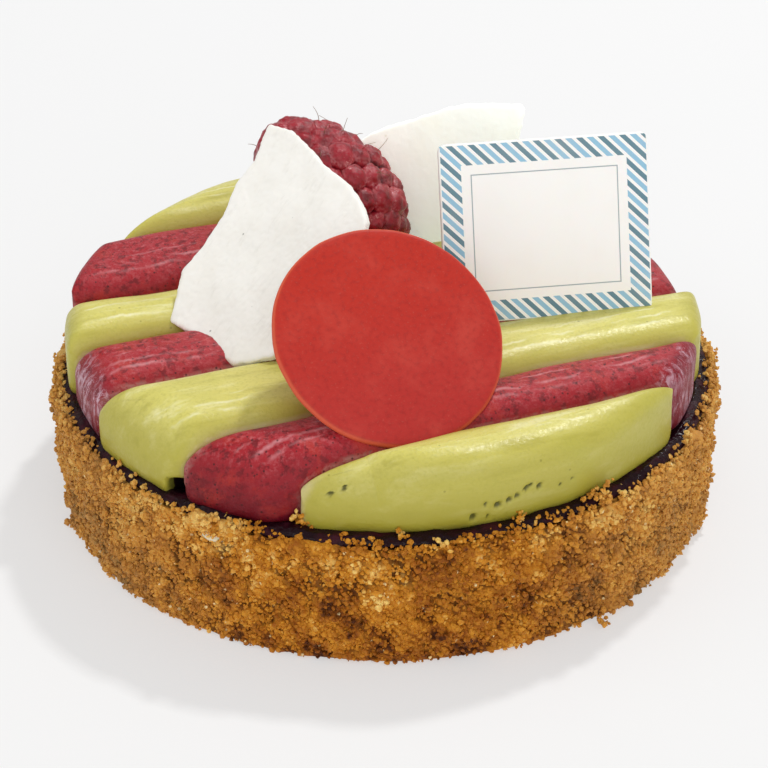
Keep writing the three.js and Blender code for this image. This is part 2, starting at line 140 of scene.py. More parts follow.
# Heaps of crumbs that stand on the rim or lie on a bar: middle, spread and how many crumbs.
RIM_HEAPS = (
    ((-44.6, -8.6, 17.3), 0.7, 8), ((-22.4, -39.9, 18.5), 1.0, 14), ((-18.5, -40.8, 18.6), 1.0, 14),
    ((25.5, -35.2, 18.7), 1.3, 18), ((42.3, -13.2, 18.8), 1.1, 14), ((-10.8, -40.4, 19.4), 0.9, 14),
    ((-9.6, -40.7, 18.6), 0.8, 10), ((27.3, -34.6, 19.8), 1.3, 20), ((39.0, -22.0, 18.7), 1.0, 12),
    ((-38.5, -22.6, 18.6), 1.0, 10), ((16.5, -39.6, 18.7), 1.1, 14), ((43.6, -5.0, 18.9), 0.9, 12),
    ((27.5, -36.6, 1.2), 1.2, 16), ((2.0, -42.6, 18.5), 0.9, 10),
)

# Air pockets that break the front face of the first bar: place and radii in millimetres.
PORES = (
    ((10.9, -41.6, 19.9), 0.55), ((12.7, -41.2, 19.7), 0.3), ((14.0, -40.7, 21.1), 0.55),
    ((15.4, -40.2, 21.5), 0.5), ((16.4, -39.7, 21.9), 0.42), ((17.6, -39.3, 22.6), 0.5),
    ((18.1, -39.0, 23.0), 0.35), ((19.2, -38.4, 22.5), 0.5), ((12.4, -41.2, 21.5), 0.35),
    ((23.6, -36.1, 22.0), 0.28), ((21.9, -37.0, 21.9), 0.25), ((-5.2, -42.3, 24.2), 0.4),
    ((-6.9, -42.0, 23.4), 0.45), ((15.2, -40.4, 20.0), 0.25),
)

# The hollow between the second and third bars where they meet the jam: middle and radius.
HOLLOW = ((-25.7, -33.4, 18.6), 1.9)
HOLLOW_BARS = (1, 2)

# Bar ends that carry frost over painted shade: node and side, -1 for the left one and 1 for the right one.
FROSTED_ENDS = {"raspberry_bar_2": -1, "raspberry_bar_1": 1}

# ---- Light and camera ----

# The photo's focal length in pixels over its width in pixels, and what the camera looks at.
FOCAL_PART = 2545 / 768
CAMERA_TARGET = (-0.2, 0, 14.3)
SENSOR = 36

# Name, place in metres, size in metres and power in watts of each light, which faces the tart.
LIGHTS = (
    ("key_softbox", (0.26, 0.42, 0.8), 0.07, 3.9),
    ("side_softbox", (-0.75, -0.15, 0.5), 0.6, 1.0),
    ("front_softbox", (0.2, -0.9, 0.55), 1.0, 4.7),
)


# ---- Properties, nodes and objects ----


def linear(hex_colour):
    """The scene-linear RGBA of an sRGB colour written as #RRGGBB."""
    parts = [int(hex_colour[k : k + 2], 16) / 255 for k in (1, 3, 5)]
    curve = [c / 12.92 if c <= 0.04045 else ((c + 0.055) / 1.055) ** 2.4 for c in parts]
    return (*curve, 1.0)


def length(name, description, millimetres):
    """A length property whose default is given in millimetres."""
    return bpy.props.FloatProperty(
        name=name, description=description, default=millimetres * MM, min=0.0,
        unit="LENGTH", precision=5,
    )


def count(name, description, default):
    """A property that counts pieces."""
    return bpy.props.IntProperty(name=name, description=description, default=default, min=1)


def tint(name, description, hex_colour):
    """A colour property whose default is an sRGB colour."""
    return bpy.props.FloatVectorProperty(
        name=name, description=description, default=linear(hex_colour), size=4,
        min=0.0, max=1.0, subtype="COLOR",
    )


class CrustSettings(bpy.types.PropertyGroup):
    """The cup of pressed crumbs."""

    radius: length("Radius", "Radius of the wall near its top", 45.2)
    height: length("Height", "Height of the wall without its standing crumbs", 17.9)
    wall: length("Wall", "Thickness of the wall", 2.0)
    floor: length("Floor", "Thickness of the floor of the cup", 6.0)
    fine: count("Fine crumbs", "How many fine crumbs lie on the wall", 9600)
    medium: count("Medium crumbs", "How many medium crumbs lie on the wall", 9600)
    coarse: count("Coarse crumbs", "How many coarse crumbs lie on the wall", 2300)
    rim: count("Rim crumbs", "How many crumbs are heaped on the rim", 2480)
    gold: tint("Gold", "Crumbs that took most butter", "#D18D2A")
    toast: tint("Toast", "Browned crumbs", "#9C5918")
    # The darkest crumb tone, also laid in the crust's pits as painted shade.
    shade: tint("Shade", "Crumb deep in a pit", "#4A230A")
    # Painted light: a paler, less saturated crumb where the wall turns away to the left and right.
    tan: tint("Tan", "Paler crumb round the sides", "#CFA05A")


class FillingSettings(bpy.types.PropertyGroup):
    """Cream and jam."""

    cream: tint("Cream", "Colour of the cream", "#F1E9D2")
    jam: tint("Jam", "Colour of the jam", "#1E0710")


class IceSettings(bpy.types.PropertyGroup):
    """The rounded bars of ice."""

    shoulder: length("Shoulder", "Radius of the bars' long upper edges", 3.6)
    # Lit and shaded copies of each ice colour: painted light and shade.
    pistachio: tint("Pistachio", "Pistachio ice in the light", "#D8D070")
    pistachio_in_shade: tint("Pistachio shade", "Pistachio ice low on its sides", "#A99F35")
    raspberry: tint("Raspberry", "Raspberry ice in the light", "#AA1A26")
    raspberry_in_shade: tint("Raspberry shade", "Raspberry ice low on its sides", "#7A0A18")
    frost: tint("Frost", "Frost on the raspberry ice", "#D88488")


class ToppingSettings(bpy.types.PropertyGroup):
    """The toppings that stand on the bars."""

    drupelets: count("Drupelets", "How many drupelets cover the raspberry", 96)
    hairs: count("Hairs", "How many dry styles stand on the raspberry", 16)
    shard: length("Shard", "Thickness of the meringue shards", 1.2)
    disc: length("Disc", "Thickness of the chocolate disc", 1.2)
    plaque: length("Plaque", "Thickness of the plaque", 1.1)
    berry: tint("Raspberry", "Skin of the fresh raspberry", "#A31226")
    meringue: tint("Meringue", "Front meringue shard", "#FAF7F0")
    red: tint("Red chocolate", "Colour of the disc", "#B92A1C")
    ivory: tint("Ivory chocolate", "Colour of the plaque", "#FFFEFA")
    blue: tint("Light blue", "Light stripes of the plaque's border", "#93C4DE")
    slate: tint("Slate", "Dark stripes of the plaque's border", "#5D8594")


class StageSettings(bpy.types.PropertyGroup):
    """Floor, light and camera."""

    floor: tint("Floor", "Colour of the floor", "#ABABAB")
    glow: bpy.props.FloatProperty(
        name="Glow", description="Strength of the light that comes up through the floor",
        default=0.48, min=0.0,
    )
    sky: bpy.props.FloatProperty(
        name="Sky", description="Strength of the even light from all round", default=0.49, min=0.0,
    )
    elevation: bpy.props.FloatProperty(
        name="Elevation", description="How far above the horizon the camera stands",
        default=math.radians(31.1), subtype="ANGLE",
    )
    distance: length("Distance", "From the camera to what it looks at", 350.0)


def per(millimetres):
    """The scale of a pattern whose parts are about so many millimetres across."""
    return 1 / (millimetres * MM)


def fill(tree, socket, value):
    """Link a socket or set it: None leaves it alone, and text is an sRGB colour."""
    if isinstance(value, bpy.types.NodeSocket):
        tree.links.new(value, socket)
    elif value is not None:
        socket.default_value = linear(value) if isinstance(value, str) else value


def add_node(tree, kind, *values, out=0, **settings):
    """Add a node with its settings, fill its open inputs in order, and give one output."""
    node = tree.nodes.new("ShaderNode" + kind)
    for name, value in (USUAL.get(kind, {}) | settings).items():
        setattr(node, name, value)
    for socket, value in zip([socket for socket in node.inputs if socket.enabled], values):
        fill(tree, socket, value)
    return node.outputs[out] if out else next(socket for socket in node.outputs if socket.enabled)


def kept_values(add, *names):
    """The numbers that a mesh keeps on its vertices under these names."""
    return [add("Attribute", attribute_name=name, out="Fac") for name in names]


def finish_material(name, build, **constants):
    """A material from build, which gives a colour, layers of colour over it, each with its share,
    then roughness, height and the depth of that height. Constants go on the shader's own sockets."""
    material = bpy.data.materials.new(name)
    material.use_nodes = True
    tree = material.node_tree
    add = partial(add_node, tree)
    colour, layers, roughness, height, depth = build(add, add("TexCoord", out="Object"))
    for share, over in layers:
        colour = add("Mix", share, colour, over)
    constants |= {"Base_Color": colour, "Roughness": roughness}
    if height is not None:
        constants["Normal"] = add("Bump", 1.0, depth * MM, None, height)
    for socket, value in constants.items():
        fill(tree, tree.nodes["Principled BSDF"].inputs[socket.replace("_", " ")], value)
    return material


def new_piece(name, mesh, material, slot, *nodes, smooth=True):
    """An object from a mesh in millimetres that rides on the tart and may replace CAD nodes."""
    mesh.transform(Matrix.Scale(MM, 4))
    mesh.materials.clear()
    mesh.materials.append(material)
    mesh.polygons.foreach_set("use_smooth", [smooth] * len(mesh.polygons))
    piece = bpy.data.objects.new(name, mesh)
    bpy.context.scene.collection.objects.link(piece)
    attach(piece, "root")
    if nodes:
        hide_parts(*nodes)
    return piece


# ---- Meshes ----


def corners(mesh):
    """The vertices of a mesh as rows of x, y and z."""
    flat = np.empty(len(mesh.vertices) * 3, np.float32)
    mesh.vertices.foreach_get("co", flat)
    return flat.reshape(-1, 3).astype(float)


def move_corners(mesh, places):
    """Move every vertex of a mesh."""
    mesh.vertices.foreach_set("co", np.asarray(places, np.float32).ravel())
    mesh.update()


def keep_value(mesh, name, values):
    """Keep a number on each vertex for the materials."""
    layer = mesh.attributes.new(name, "FLOAT", "POINT")
    layer.data.foreach_set("value", np.asarray(values, np.float32))


def mesh_from(shape, name):
    """Turn a bmesh into a mesh, with doubled vertices merged and faces turned outward."""
    bmesh.ops.remove_doubles(shape, verts=shape.verts, dist=1e-4)
    bmesh.ops.recalc_face_normals(shape, faces=shape.faces)
    mesh = bpy.data.meshes.new(name)
    shape.to_mesh(mesh)
    shape.free()
    return mesh


def turned(name, path, steps, cuts):
    """A closed skin spun once round from radius and height pairs, with its rings then cut finer."""
    shape = bmesh.new()
    spots = [shape.verts.new((float(radius), 0, float(height))) for radius, height in path]
    line = [shape.edges.new(pair) for pair in zip(spots, spots[1:])]
    bmesh.ops.spin(
        shape, geom=spots + line, cent=(0, 0, 0), axis=(0, 0, 1), angle=2 * math.pi, steps=steps,
        use_merge=True)
    bmesh.ops.remove_doubles(shape, verts=shape.verts, dist=1e-4)
    rings = []
    for edge in shape.edges:
        first, last = (vert.co for vert in edge.verts)
        if abs(first.z - last.z) < 1e-4 and abs(first.xy.length - last.xy.length) < 1e-4:
            rings.append(edge)
    bmesh.ops.subdivide_edges(shape, edges=rings, cuts=cuts, use_grid_fill=True)
    return mesh_from(shape, name)


def wrapped_grid(name, spots):
    """A closed skin from rows of places that each go once round."""
    rows, columns = spots.shape[0] - 1, spots.shape[1]
    shape = bmesh.new()
    bmesh.ops.create_grid(shape, x_segments=columns, y_segments=rows, size=1)
    mesh = bpy.data.meshes.new(name)
    shape.to_mesh(mesh)
    flat = corners(mesh)
    column = np.rint((flat[:, 0] + 1) / 2 * columns).astype(int) % columns
    row = np.rint((flat[:, 1] + 1) / 2 * rows).astype(int)
    move_corners(mesh, spots[row, column])
    shape.clear()
    shape.from_mesh(mesh)
    bpy.data.meshes.remove(mesh)
    return mesh_from(shape, name)


def smooth_noise(places, size, seed=0.0):
    """Smooth noise from -1 to 1 at each place, with lumps so many millimetres across."""
    shift = Vector((seed, seed * 1.7, seed * 0.6))
    return np.array([noise.noise(Vector(p) / size + shift) for p in places])


def smoothstep(value, low, high):
    """0 below low, 1 above high, and a smooth rise between them."""
    part = np.clip((value - low) / (high - low), 0, 1)
    return part * part * (3 - 2 * part)


def stood_up(places, foot, lean, turn):
    """Places drawn with X along the foot, Y up the face and Z to the viewer, leant and turned."""
    turn, lean = (Matrix.Rotation(math.radians(t), 3, axis) for t, axis in ((turn, "Z"), (90 - lean, "X")))
    return np.asarray(places) @ np.array(turn @ lean).T + np.array(foot)


def evaluated(mesh, name, *modifiers):
    """A mesh after modifiers, each given as its kind and its settings."""
    piece = bpy.data.objects.new(name, mesh)
    bpy.context.scene.collection.objects.link(piece)
    for kind, settings in modifiers:
        modifier = piece.modifiers.new(kind.title(), kind)
        for key, value in settings.items():
            setattr(modifier, key, value)
    graph = bpy.context.evaluated_depsgraph_get()
    result = bpy.data.meshes.new_from_object(piece.evaluated_get(graph))
    bpy.data.objects.remove(piece)
    bpy.data.meshes.remove(mesh)
    return result


# ---- Crust ----


def wall_radius(crust, z):
    """Radius of the plain wall at a height: it draws in a little towards the foot."""
    height, radius = crust.height / MM, crust.radius / MM
    part = np.clip((z - FOOT_ROUND) / (height - FOOT_ROUND), 0, 1)
    return FOOT_RADIUS + (radius - FOOT_RADIUS) * np.sin(part * math.pi / 2)


def crumb_relief(place):
    """How far pressed crumbs stand out at a place."""
    place = Vector(place)
    lift = 0.3 * noise.noise(place / 7.5)
    for size, tall in ((4.2, 0.75), (2.1, 0.65), (1.0, 0.4)):
        near, middles = noise.voronoi(place / size + Vector((size, 0, 0)))
        dome = 1 - min(near[0] * 1.2, 1) ** 2
        lift += tall * (dome * (0.45 + 0.75 * noise.cell(middles[0] * 9.7)) - 0.4)
    return lift


def near_lip(places, reach=0.55):
    """Whether each place lies so near the lip of cream that it would hide it."""
    turn = math.radians(LIP["angle"])
    middle = np.array([LIP["radius"] * math.cos(turn), LIP["radius"] * math.sin(turn), LIP["z"]])
    away = np.asarray(places) - middle
    sizes = np.array([4.0, LIP["size"][1], LIP["size"][2]]) * reach
    out = away[:, 0] * math.cos(turn) + away[:, 1] * math.sin(turn)
    along = away[:, 1] * math.cos(turn) - away[:, 0] * math.sin(turn)
    return np.linalg.norm(np.stack([out, along, away[:, 2]], axis=1) / sizes, axis=1) < 1


def crust_profile(crust, spacing):
    """Radius and height down the outside of the cup, from its hollow to under its foot."""
    height, radius, wall, floor = (v / MM for v in (crust.height, crust.radius, crust.wall, crust.floor))
    up = np.linspace(height - 0.8, FOOT_ROUND, 30)
    path = [(0.0, floor), (radius - wall, floor), (radius - wall, height - 3.5), (radius - wall, height - 0.3)]
    path += [(radius - wall + 0.3, height), (radius - 0.8, height), (radius - 0.25, height - 0.25)]
    path += [(float(wall_radius(crust, z)), float(z)) for z in up]
    turn = np.linspace(0, math.pi / 2, 5)[1:]
    path += [(FOOT_RADIUS - FOOT_ROUND * (1 - math.cos(t)), FOOT_ROUND * (1 - math.sin(t))) for t in turn]
    path += [(0.0, 0.0)]
    path = np.array(path)
    middle = path[2:-1]
    steps = np.linalg.norm(np.diff(middle, axis=0), axis=1)
    along = np.concatenate([[0], np.cumsum(steps)])
    even = np.linspace(0, along[-1], int(along[-1] / spacing))
    fine = np.stack([np.interp(even, along, middle[:, k]) for k in (0, 1)], axis=1)
    return np.concatenate([path[:2], fine, path[-1:]])


def crust_shell(crust):
    """The cup of pressed crumbs as one skin with its lumps, pits and uneven rim."""
    mesh = turned("crust", crust_profile(crust, 0.27), 104, 9)
    places = corners(mesh)
    radius, height = crust.radius / MM, crust.height / MM
    reach = np.hypot(places[:, 0], places[:, 1])
    by_rim = (reach > radius - 3) & (places[:, 2] > height - 3.6)
    outside = (places[:, 2] > 0.02) & (by_rim | (reach > FOOT_RADIUS - 1.2))
    relief = np.zeros(len(places))
    for k in np.flatnonzero(outside):
        relief[k] = crumb_relief(places[k]) - 0.15
    openness = relief.copy()
    relief -= 0.9 * near_lip(places, 0.95)
    low = smoothstep(places[:, 2], 0.0, 1.2)
    on_rim = smoothstep(places[:, 2], height - 1.0, height) * smoothstep(-reach, -radius - 0.2, -radius + 1.0)
    out = places[:, :2] / np.maximum(reach, 1)[:, None]
    amount = relief * (0.25 + 0.75 * low) * np.where(reach < radius - 1.9, 0.2, 1.0)
    places[:, :2] += out * (amount * (1 - 0.7 * on_rim))[:, None]
    lumps = smooth_noise(places, 5.5) + 0.8 * smooth_noise(places, 1.5, 7.0)
    places[:, 2] += np.where(outside, on_rim * (amount + 0.5 * lumps), 0)
    places[:, 2] = np.maximum(places[:, 2], 0)
    move_corners(mesh, places)
    keep_value(mesh, "openness", openness)
    keep_value(mesh, "tone", smooth_noise(places, 1.6, 4.0) * 0.5 + 0.5)
    return mesh


def joined(name, faces, spots):
    """One mesh of many copies: faces of one copy, and the places of every copy's vertices."""
    total, size = spots.shape[:2]
    loops = (faces[None] + (np.arange(total) * size)[:, None, None]).reshape(-1, 3)
    mesh = bpy.data.meshes.new(name)
    mesh.vertices.add(total * size)
    mesh.vertices.foreach_set("co", spots.astype(np.float32).ravel())
    mesh.loops.add(loops.size)
    mesh.loops.foreach_set("vertex_index", loops.ravel().astype(np.int32))
    mesh.polygons.add(len(loops))
    mesh.polygons.foreach_set("loop_start", np.arange(0, loops.size, 3, dtype=np.int32))
    mesh.update(calc_edges=True)
    return mesh


def template(shape):
    """The places and the triangles of a small shape, which is then freed."""
    bmesh.ops.triangulate(shape, faces=shape.faces)
    shape.verts.index_update()
    points = np.array([v.co for v in shape.verts])
    faces = np.array([[v.index for v in f.verts] for f in shape.faces])
    shape.free()
    return points, faces


def joined_crumbs(name, places, radii, tones, subdivisions, random):
    """Crumbs of uneven shape joined in one mesh: turned, squashed and dented copies of a ball."""
    ball = bmesh.new()
    bmesh.ops.create_icosphere(ball, subdivisions=subdivisions, radius=1)
    points, faces = template(ball)
    kept = ~near_lip(places)
    places, radii, tones = np.asarray(places)[kept], np.asarray(radii)[kept], np.asarray(tones)[kept]
    total = len(places)
    quaternions = random.normal(size=(total, 4))
    w, x, y, z = (quaternions / np.linalg.norm(quaternions, axis=1)[:, None]).T
    turns = np.array([
        [1 - 2 * (y * y + z * z), 2 * (x * y - z * w), 2 * (x * z + y * w)],
        [2 * (x * y + z * w), 1 - 2 * (x * x + z * z), 2 * (y * z - x * w)],
        [2 * (x * z - y * w), 2 * (y * z + x * w), 1 - 2 * (x * x + y * y)],
    ]).transpose(2, 0, 1)
    dents = 1 + random.uniform(-0.4, 0.3, (total, len(points), 1))
    sizes = random.uniform(0.62, 1.2, (total, 1, 3)) * radii[:, None, None]
    spots = np.einsum("kij,knj->kni", turns, points[None] * dents * sizes) + places[:, None, :]
    mesh = joined(name, faces, spots)
    keep_value(mesh, "tone", np.repeat(tones, len(points)))
    keep_value(mesh, "openness", np.full(total * len(points), 0.3))
    return mesh


def wall_places(crust, total, buried, radii, start, high=17.6):
    """Places spread evenly over the wall's lumps for crumbs that are partly sunk in it."""
    order = np.arange(total)
    angles = start + order * GOLDEN_ANGLE
    heights = 0.4 + (high - 0.4) * ((order * EVEN_STEP + start) % 1)
    reach = wall_radius(crust, heights)
    plain = np.stack([reach * np.cos(angles), reach * np.sin(angles), heights], axis=1)
    relief = np.array([crumb_relief(p) for p in plain]) * (0.25 + 0.75 * smoothstep(heights, 0, 1.2))
    reach = reach + relief - buried * radii
    heights = np.maximum(heights, radii * 0.8)
    return np.stack([reach * np.cos(angles), reach * np.sin(angles), heights], axis=1)


def wall_crumbs(crust, name, seed, sizes, buried, start, spread):
    """Crumbs of one kind that lie one by one over the whole wall."""
    random = np.random.default_rng(seed)
    total = getattr(crust, name.split("_")[0])
    radii = random.uniform(*sizes, total)
    places = wall_places(crust, total, buried, radii, start) + random.normal(0, spread, (total, 3))
    return joined_crumbs(name, places, radii, random.uniform(0, 1, total), 1, random)


def coarse_crumbs(crust):
    """Coarse crumbs over the whole wall, most of them in small heaps."""
    random = np.random.default_rng(5)
    heaps = crust.coarse // 9
    heap_radii = random.uniform(0.45, 0.8, heaps)
    middles = wall_places(crust, heaps, 0.5, heap_radii, 2.9, high=16.8)
    parts = random.integers(0, heaps, crust.coarse - heaps)
    spread = random.normal(0, 0.7, (len(parts), 3)) * heap_radii[parts, None]
    places = np.concatenate([middles, middles[parts] + spread])
    places[:, 2] = np.maximum(places[:, 2], 0.4)
    radii = np.concatenate([heap_radii, random.uniform(0.24, 0.52, len(parts))])
    shades = random.uniform(0.1, 1, heaps)
    tones = np.concatenate([shades, np.clip(shades[parts] + random.normal(0, 0.2, len(parts)), 0, 1)])
    return joined_crumbs("coarse_crumbs", places, radii, tones, 2, random)


def rim_crumbs(crust):
    """A ragged heap of crumbs all round the rim, with the taller heaps that the tart shows."""
    random = np.random.default_rng(8)
    height, radius = crust.height / MM, crust.radius / MM
    total = crust.rim - sum(heap[2] for heap in RIM_HEAPS)
    angles = random.uniform(0, 2 * math.pi, total)
    edge = np.stack([radius * np.cos(angles), radius * np.sin(angles), 0 * angles], axis=1)
    most = 2.3 + 1.5 * smooth_noise(edge, 2.6, 2.0) + 0.7 * smooth_noise(edge, 1.0, 8.0)
    inset = 0.1 + (most - 0.1) * random.uniform(0, 1, total)
    flat = edge * (1 - inset / radius)[:, None]
    ridge = height + 0.45 + 0.9 * smooth_noise(flat, 3.6, 2.0) + 1.1 * smooth_noise(flat, 1.3, 5.0)
    ridge -= 0.2 * (inset - 1.1) ** 2
    flat[:, 2] = ridge - random.uniform(0, 1, total) ** 1.4 * 1.5
    places, radii = [flat], [random.uniform(0.18, 0.4, total)]
    tones = [np.clip(0.55 + 0.4 * smooth_noise(flat, 2.5, 9.0) + random.normal(0, 0.22, total), 0, 1)]
    for middle, spread, many in RIM_HEAPS:
        places.append(np.array(middle) + random.normal(0, 0.5, (many, 3)) * spread)
        radii.append(random.uniform(0.2, 0.4, many))
        tones.append(np.clip(random.normal(0.75, 0.2, many), 0, 1))
    return joined_crumbs(
        "rim_crumbs", np.concatenate(places), np.concatenate(radii), np.concatenate(tones), 2, random)


# ---- Fillings ----


def filling_mesh(name, path, waves):
    """A filling as a turned layer whose top may be uneven."""
    path = np.array([*path, (0, path[-1][1])], float)
    steps = np.linalg.norm(np.diff(path, axis=0), axis=1)
    along = np.concatenate([[0], np.cumsum(steps)])
    even = np.unique(np.concatenate([along, np.arange(0, along[-1], 0.45 if waves else 4.0)]))
    fine = np.stack([np.interp(even, along, path[:, k]) for k in (0, 1)], axis=1)
    mesh = turned(name, fine, 100, 3 if waves else 1)
    places = corners(mesh)
    if waves:
        on_top = smoothstep(places[:, 2], JAM_TOP - 0.1, JAM_TOP + 0.4)
        lumps = 1.3 * smooth_noise(places, 4.0, 3.0) + 0.8 * smooth_noise(places, 1.5, 6.0)
        places[:, 2] += on_top * waves * lumps
    move_corners(mesh, places)
    return mesh


def add_lip(mesh):
    """Add the lip of cream that shows through the rim."""
    shape = bmesh.new()
    shape.from_mesh(mesh)
    turn = Matrix.Rotation(math.radians(LIP["angle"]), 4, "Z")
    place = Matrix.Translation((LIP["radius"], 0, LIP["z"]))
    bmesh.ops.create_icosphere(
        shape, subdivisions=4, radius=1, matrix=turn @ place @ Matrix.Diagonal((*LIP["size"], 1)))
    shape.to_mesh(mesh)
    shape.free()


# ---- Bars ----


def between(ends, along):
    """A value given at the bars' left and right ends, between them."""
    return ends[0] + (ends[1] - ends[0]) * (along / SEAM_ENDS + 1) / 2


def seam_at(seam, along):
    """Where a seam lies across the bars at a distance along them."""
    wave = SEAM_WAVE["height"] * np.sin(2 * math.pi * along / SEAM_WAVE["length"] + SEAM_WAVE["shift"] * seam)
    return between(SEAMS[seam], along) + wave


def outside_bar(i, along, across):
    """How far a place of the plan lies outside bar number i; negative inside."""
    corner = BAR["corner_round"]
    sides = np.stack([
        seam_at(i, along) + GAP / 2 - across,
        across - seam_at(i + 1, along) + GAP / 2,
        np.hypot(along, across) - between(BARS[i][2], along),
    ])
    overlap = np.linalg.norm(np.maximum(sides + corner, 0), axis=0)
    return np.minimum(sides.max(axis=0), -corner) + overlap


def furthest(limit, holds):
    """The largest distances, up to a limit, at which a test still holds."""
    near, far = np.zeros_like(limit), np.array(limit, float)
    for _ in range(40):
        middle = (near + far) / 2
        held = holds(middle)
        near, far = np.where(held, middle, near), np.where(held, far, middle)
    return near


def spine_across(i, along):
    """The middle of bar number i across its width."""
    half = np.sqrt(np.maximum(between(BARS[i][2], along) ** 2 - along**2, 0))
    return (np.clip(seam_at(i, along), -half, half) + np.clip(seam_at(i + 1, along), -half, half)) / 2


def spine_end(i, sign):
    """Where the spine of bar number i ends on one side."""
    depth = lambda along: -outside_bar(i, along, spine_across(i, along))
    enough = BAR["spine_end"] * depth(np.zeros(1))
    wide = furthest(np.full(1, SEAM_ENDS), lambda distance: depth(sign * distance) > enough)[0]
    reach = between(BARS[i][2], sign * SEAM_ENDS)
    ends = [wide]
    for seam in (i, i + 1):
        corner = furthest(np.full(1, reach), lambda a, s=seam: np.hypot(a, seam_at(s, sign * a)) < reach)[0]
        if corner > wide / 2:
            ends.append(corner - BAR["corner_inset"])
    return sign * min(ends)


def shoulder_at(ice, i, along):
    """How round the edge of the bar's top is at a place along it."""
    ends = np.where(along < 0, abs(spine_end(i, -1)), abs(spine_end(i, 1)))
    near_end = np.minimum(np.abs(along) / ends, 1) ** BAR["end_fall"]
    soft = np.where(along < 0, BARS[i][3][0], BARS[i][3][1])
    most = BARS[i][1] - BAR["crown"] - BAR["bottom"] - BAR["least_height"]
    return np.minimum(ice.shoulder / MM * (1 + (soft - 1) * near_end), most)


def fall_at(edge, depth):
    """How far a rounded edge has fallen at a depth inside it."""
    short = np.maximum(edge - np.maximum(depth, 0), 0)
    return edge - np.sqrt(np.maximum(edge**2 - short**2, 0))


def depths_at(i, along, across):
    """How far a place lies inside the bar's seams, and inside the reach of its ends."""
    side = np.minimum(across - seam_at(i, along), seam_at(i + 1, along) - across) - GAP / 2
    return side, between(BARS[i][2], along) - np.hypot(along, across)


def top_at(ice, i, along, across):
    """Height of the bar's top over a place of its plan."""
    side, end = depths_at(i, along, across)
    fall = np.hypot(fall_at(ice.shoulder / MM, side), fall_at(shoulder_at(ice, i, along), end))
    swell = BAR["crown"] * smoothstep(-outside_bar(i, along, across), 0, 2 * ice.shoulder / MM)
    return np.maximum(BARS[i][1] - BAR["crown"] - fall, BAR["bottom"] + BAR["least_height"]) + swell


def bar_rays(i, spacing):
    """Lines in plan from the bar's spine to its outline, all the way round."""
    starts, headings = [], []
    for sign in (1, -1):
        first, last = spine_end(i, sign), spine_end(i, -sign)
        steps = int(abs(last - first) / spacing)
        along = np.linspace(first, last, steps, endpoint=False)
        starts.append(np.stack([along, spine_across(i, along)], axis=1))
        headings.append(np.tile([0.0, float(sign)], (steps, 1)))
        tilts = np.linspace(math.pi / 2, -math.pi / 2, int(42 / spacing), endpoint=False)
        end = np.array([last, spine_across(i, np.array([last]))[0]])
        starts.append(np.tile(end, (len(tilts), 1)))
        headings.append(np.stack([-sign * np.cos(tilts), sign * np.sin(tilts)], axis=1))
    starts, headings = np.concatenate(starts), np.concatenate(headings)

    def holds(step):
        spots = starts + headings * step[:, None]
        return outside_bar(i, spots[:, 0], spots[:, 1]) < 0

    return starts, headings, furthest(np.full(len(starts), 80.0), holds)


def bar_skin(ice, i, spacing):
    """The skin of bar number i, before its small waves."""
    starts, headings, lengths = bar_rays(i, spacing)
    tips = starts + headings * lengths[:, None]
    side, end = depths_at(i, tips[:, 0], tips[:, 1])
    edge = np.where(side < end, ice.shoulder / MM, shoulder_at(ice, i, tips[:, 0]))
    room = np.minimum(edge, BAR["end_spread"] * lengths)
    bottom, inset, rise = BAR["bottom"], BAR["foot_inset"], BAR["foot_rise"]
    brim = top_at(ice, i, tips[:, 0], tips[:, 1])
    rows = [(lengths * part, np.full(len(lengths), bottom)) for part in (0.0, 0.5)]
    for turn in np.linspace(0, math.pi / 2, 6):
        height = np.full(len(lengths), bottom + rise * (1 - math.cos(turn)))
        rows.append((lengths - inset * (1 - math.sin(turn)), height))
    for part in np.linspace(0, 1, max(int(5 / spacing), 3))[1:]:
        rows.append((lengths, bottom + rise + np.maximum(brim - bottom - rise, 0) * part))
    for turn in np.linspace(0, math.pi / 2, int(6 / spacing))[1:]:
        rows.append((lengths - room * (1 - math.cos(turn)), None))
    for part in np.linspace(1, 0, max(int(6 / spacing), 6))[1:]:
        rows.append(((lengths - room) * part, None))
    grid = []
    for distance, z in rows:
        spots = starts + headings * distance[:, None]
        z = top_at(ice, i, spots[:, 0], spots[:, 1]) if z is None else z
        grid.append(np.column_stack([spots, z]))
    return wrapped_grid(BARS[i][0], np.array(grid))


def contact_line(ice, i, along, across, height):
    """How near each place is to the line where a neighbour's top meets bar number i, from 0 to 1."""
    near = np.zeros_like(along)
    for k, seam in ((i - 1, i), (i + 1, i + 1)):
        if 0 <= k < len(BARS):
            away = np.abs(across - seam_at(seam, along))
            beyond = seam_at(seam, along) + (0.5 if k > i else -0.5)
            above = height - top_at(ice, k, along, beyond)
            inside = smoothstep(between(BARS[k][2], along) - np.hypot(along, beyond), 0.2, 1.2)
            near = np.maximum(near, smoothstep(-away, -1.7, -0.9) * smoothstep(-above, -0.35, -0.1) * inside)
    return near


def hollow_out(places):
    """Push the skin of the bars in where a hollow lies between them, and give its depth."""
    middle, radius = np.array(HOLLOW[0]), HOLLOW[1]
    flat = np.linalg.norm((places - middle)[:, :2], axis=1)
    bowl = np.clip(1 - (flat / radius) ** 2, 0, 1) * smoothstep(-places[:, 2], -20.8, -20.0)
    places[:, :2] += (np.sqrt(bowl) * 2.8)[:, None] * -middle[:2] / np.linalg.norm(middle[:2])
    return 2 * smoothstep(bowl, 0.0, 0.35)


def press_pores(places):
    """Push air pockets into the skin of the first bar, and give how deep each place lies in one."""
    pits = np.zeros(len(places))
    for middle, radius in PORES:
        away = places - np.array(middle)
        inward = -np.array([middle[0], middle[1], 0]) / math.hypot(middle[0], middle[1])
        flat = away - np.outer(away @ inward, inward)
        bowl = np.clip(1 - (np.linalg.norm(flat, axis=1) / radius) ** 2, 0, 1)
        bowl *= np.abs(away @ inward) < 3
        places += inward * (bowl * radius * 1.3)[:, None]
        pits = np.maximum(pits, bowl)
    return pits


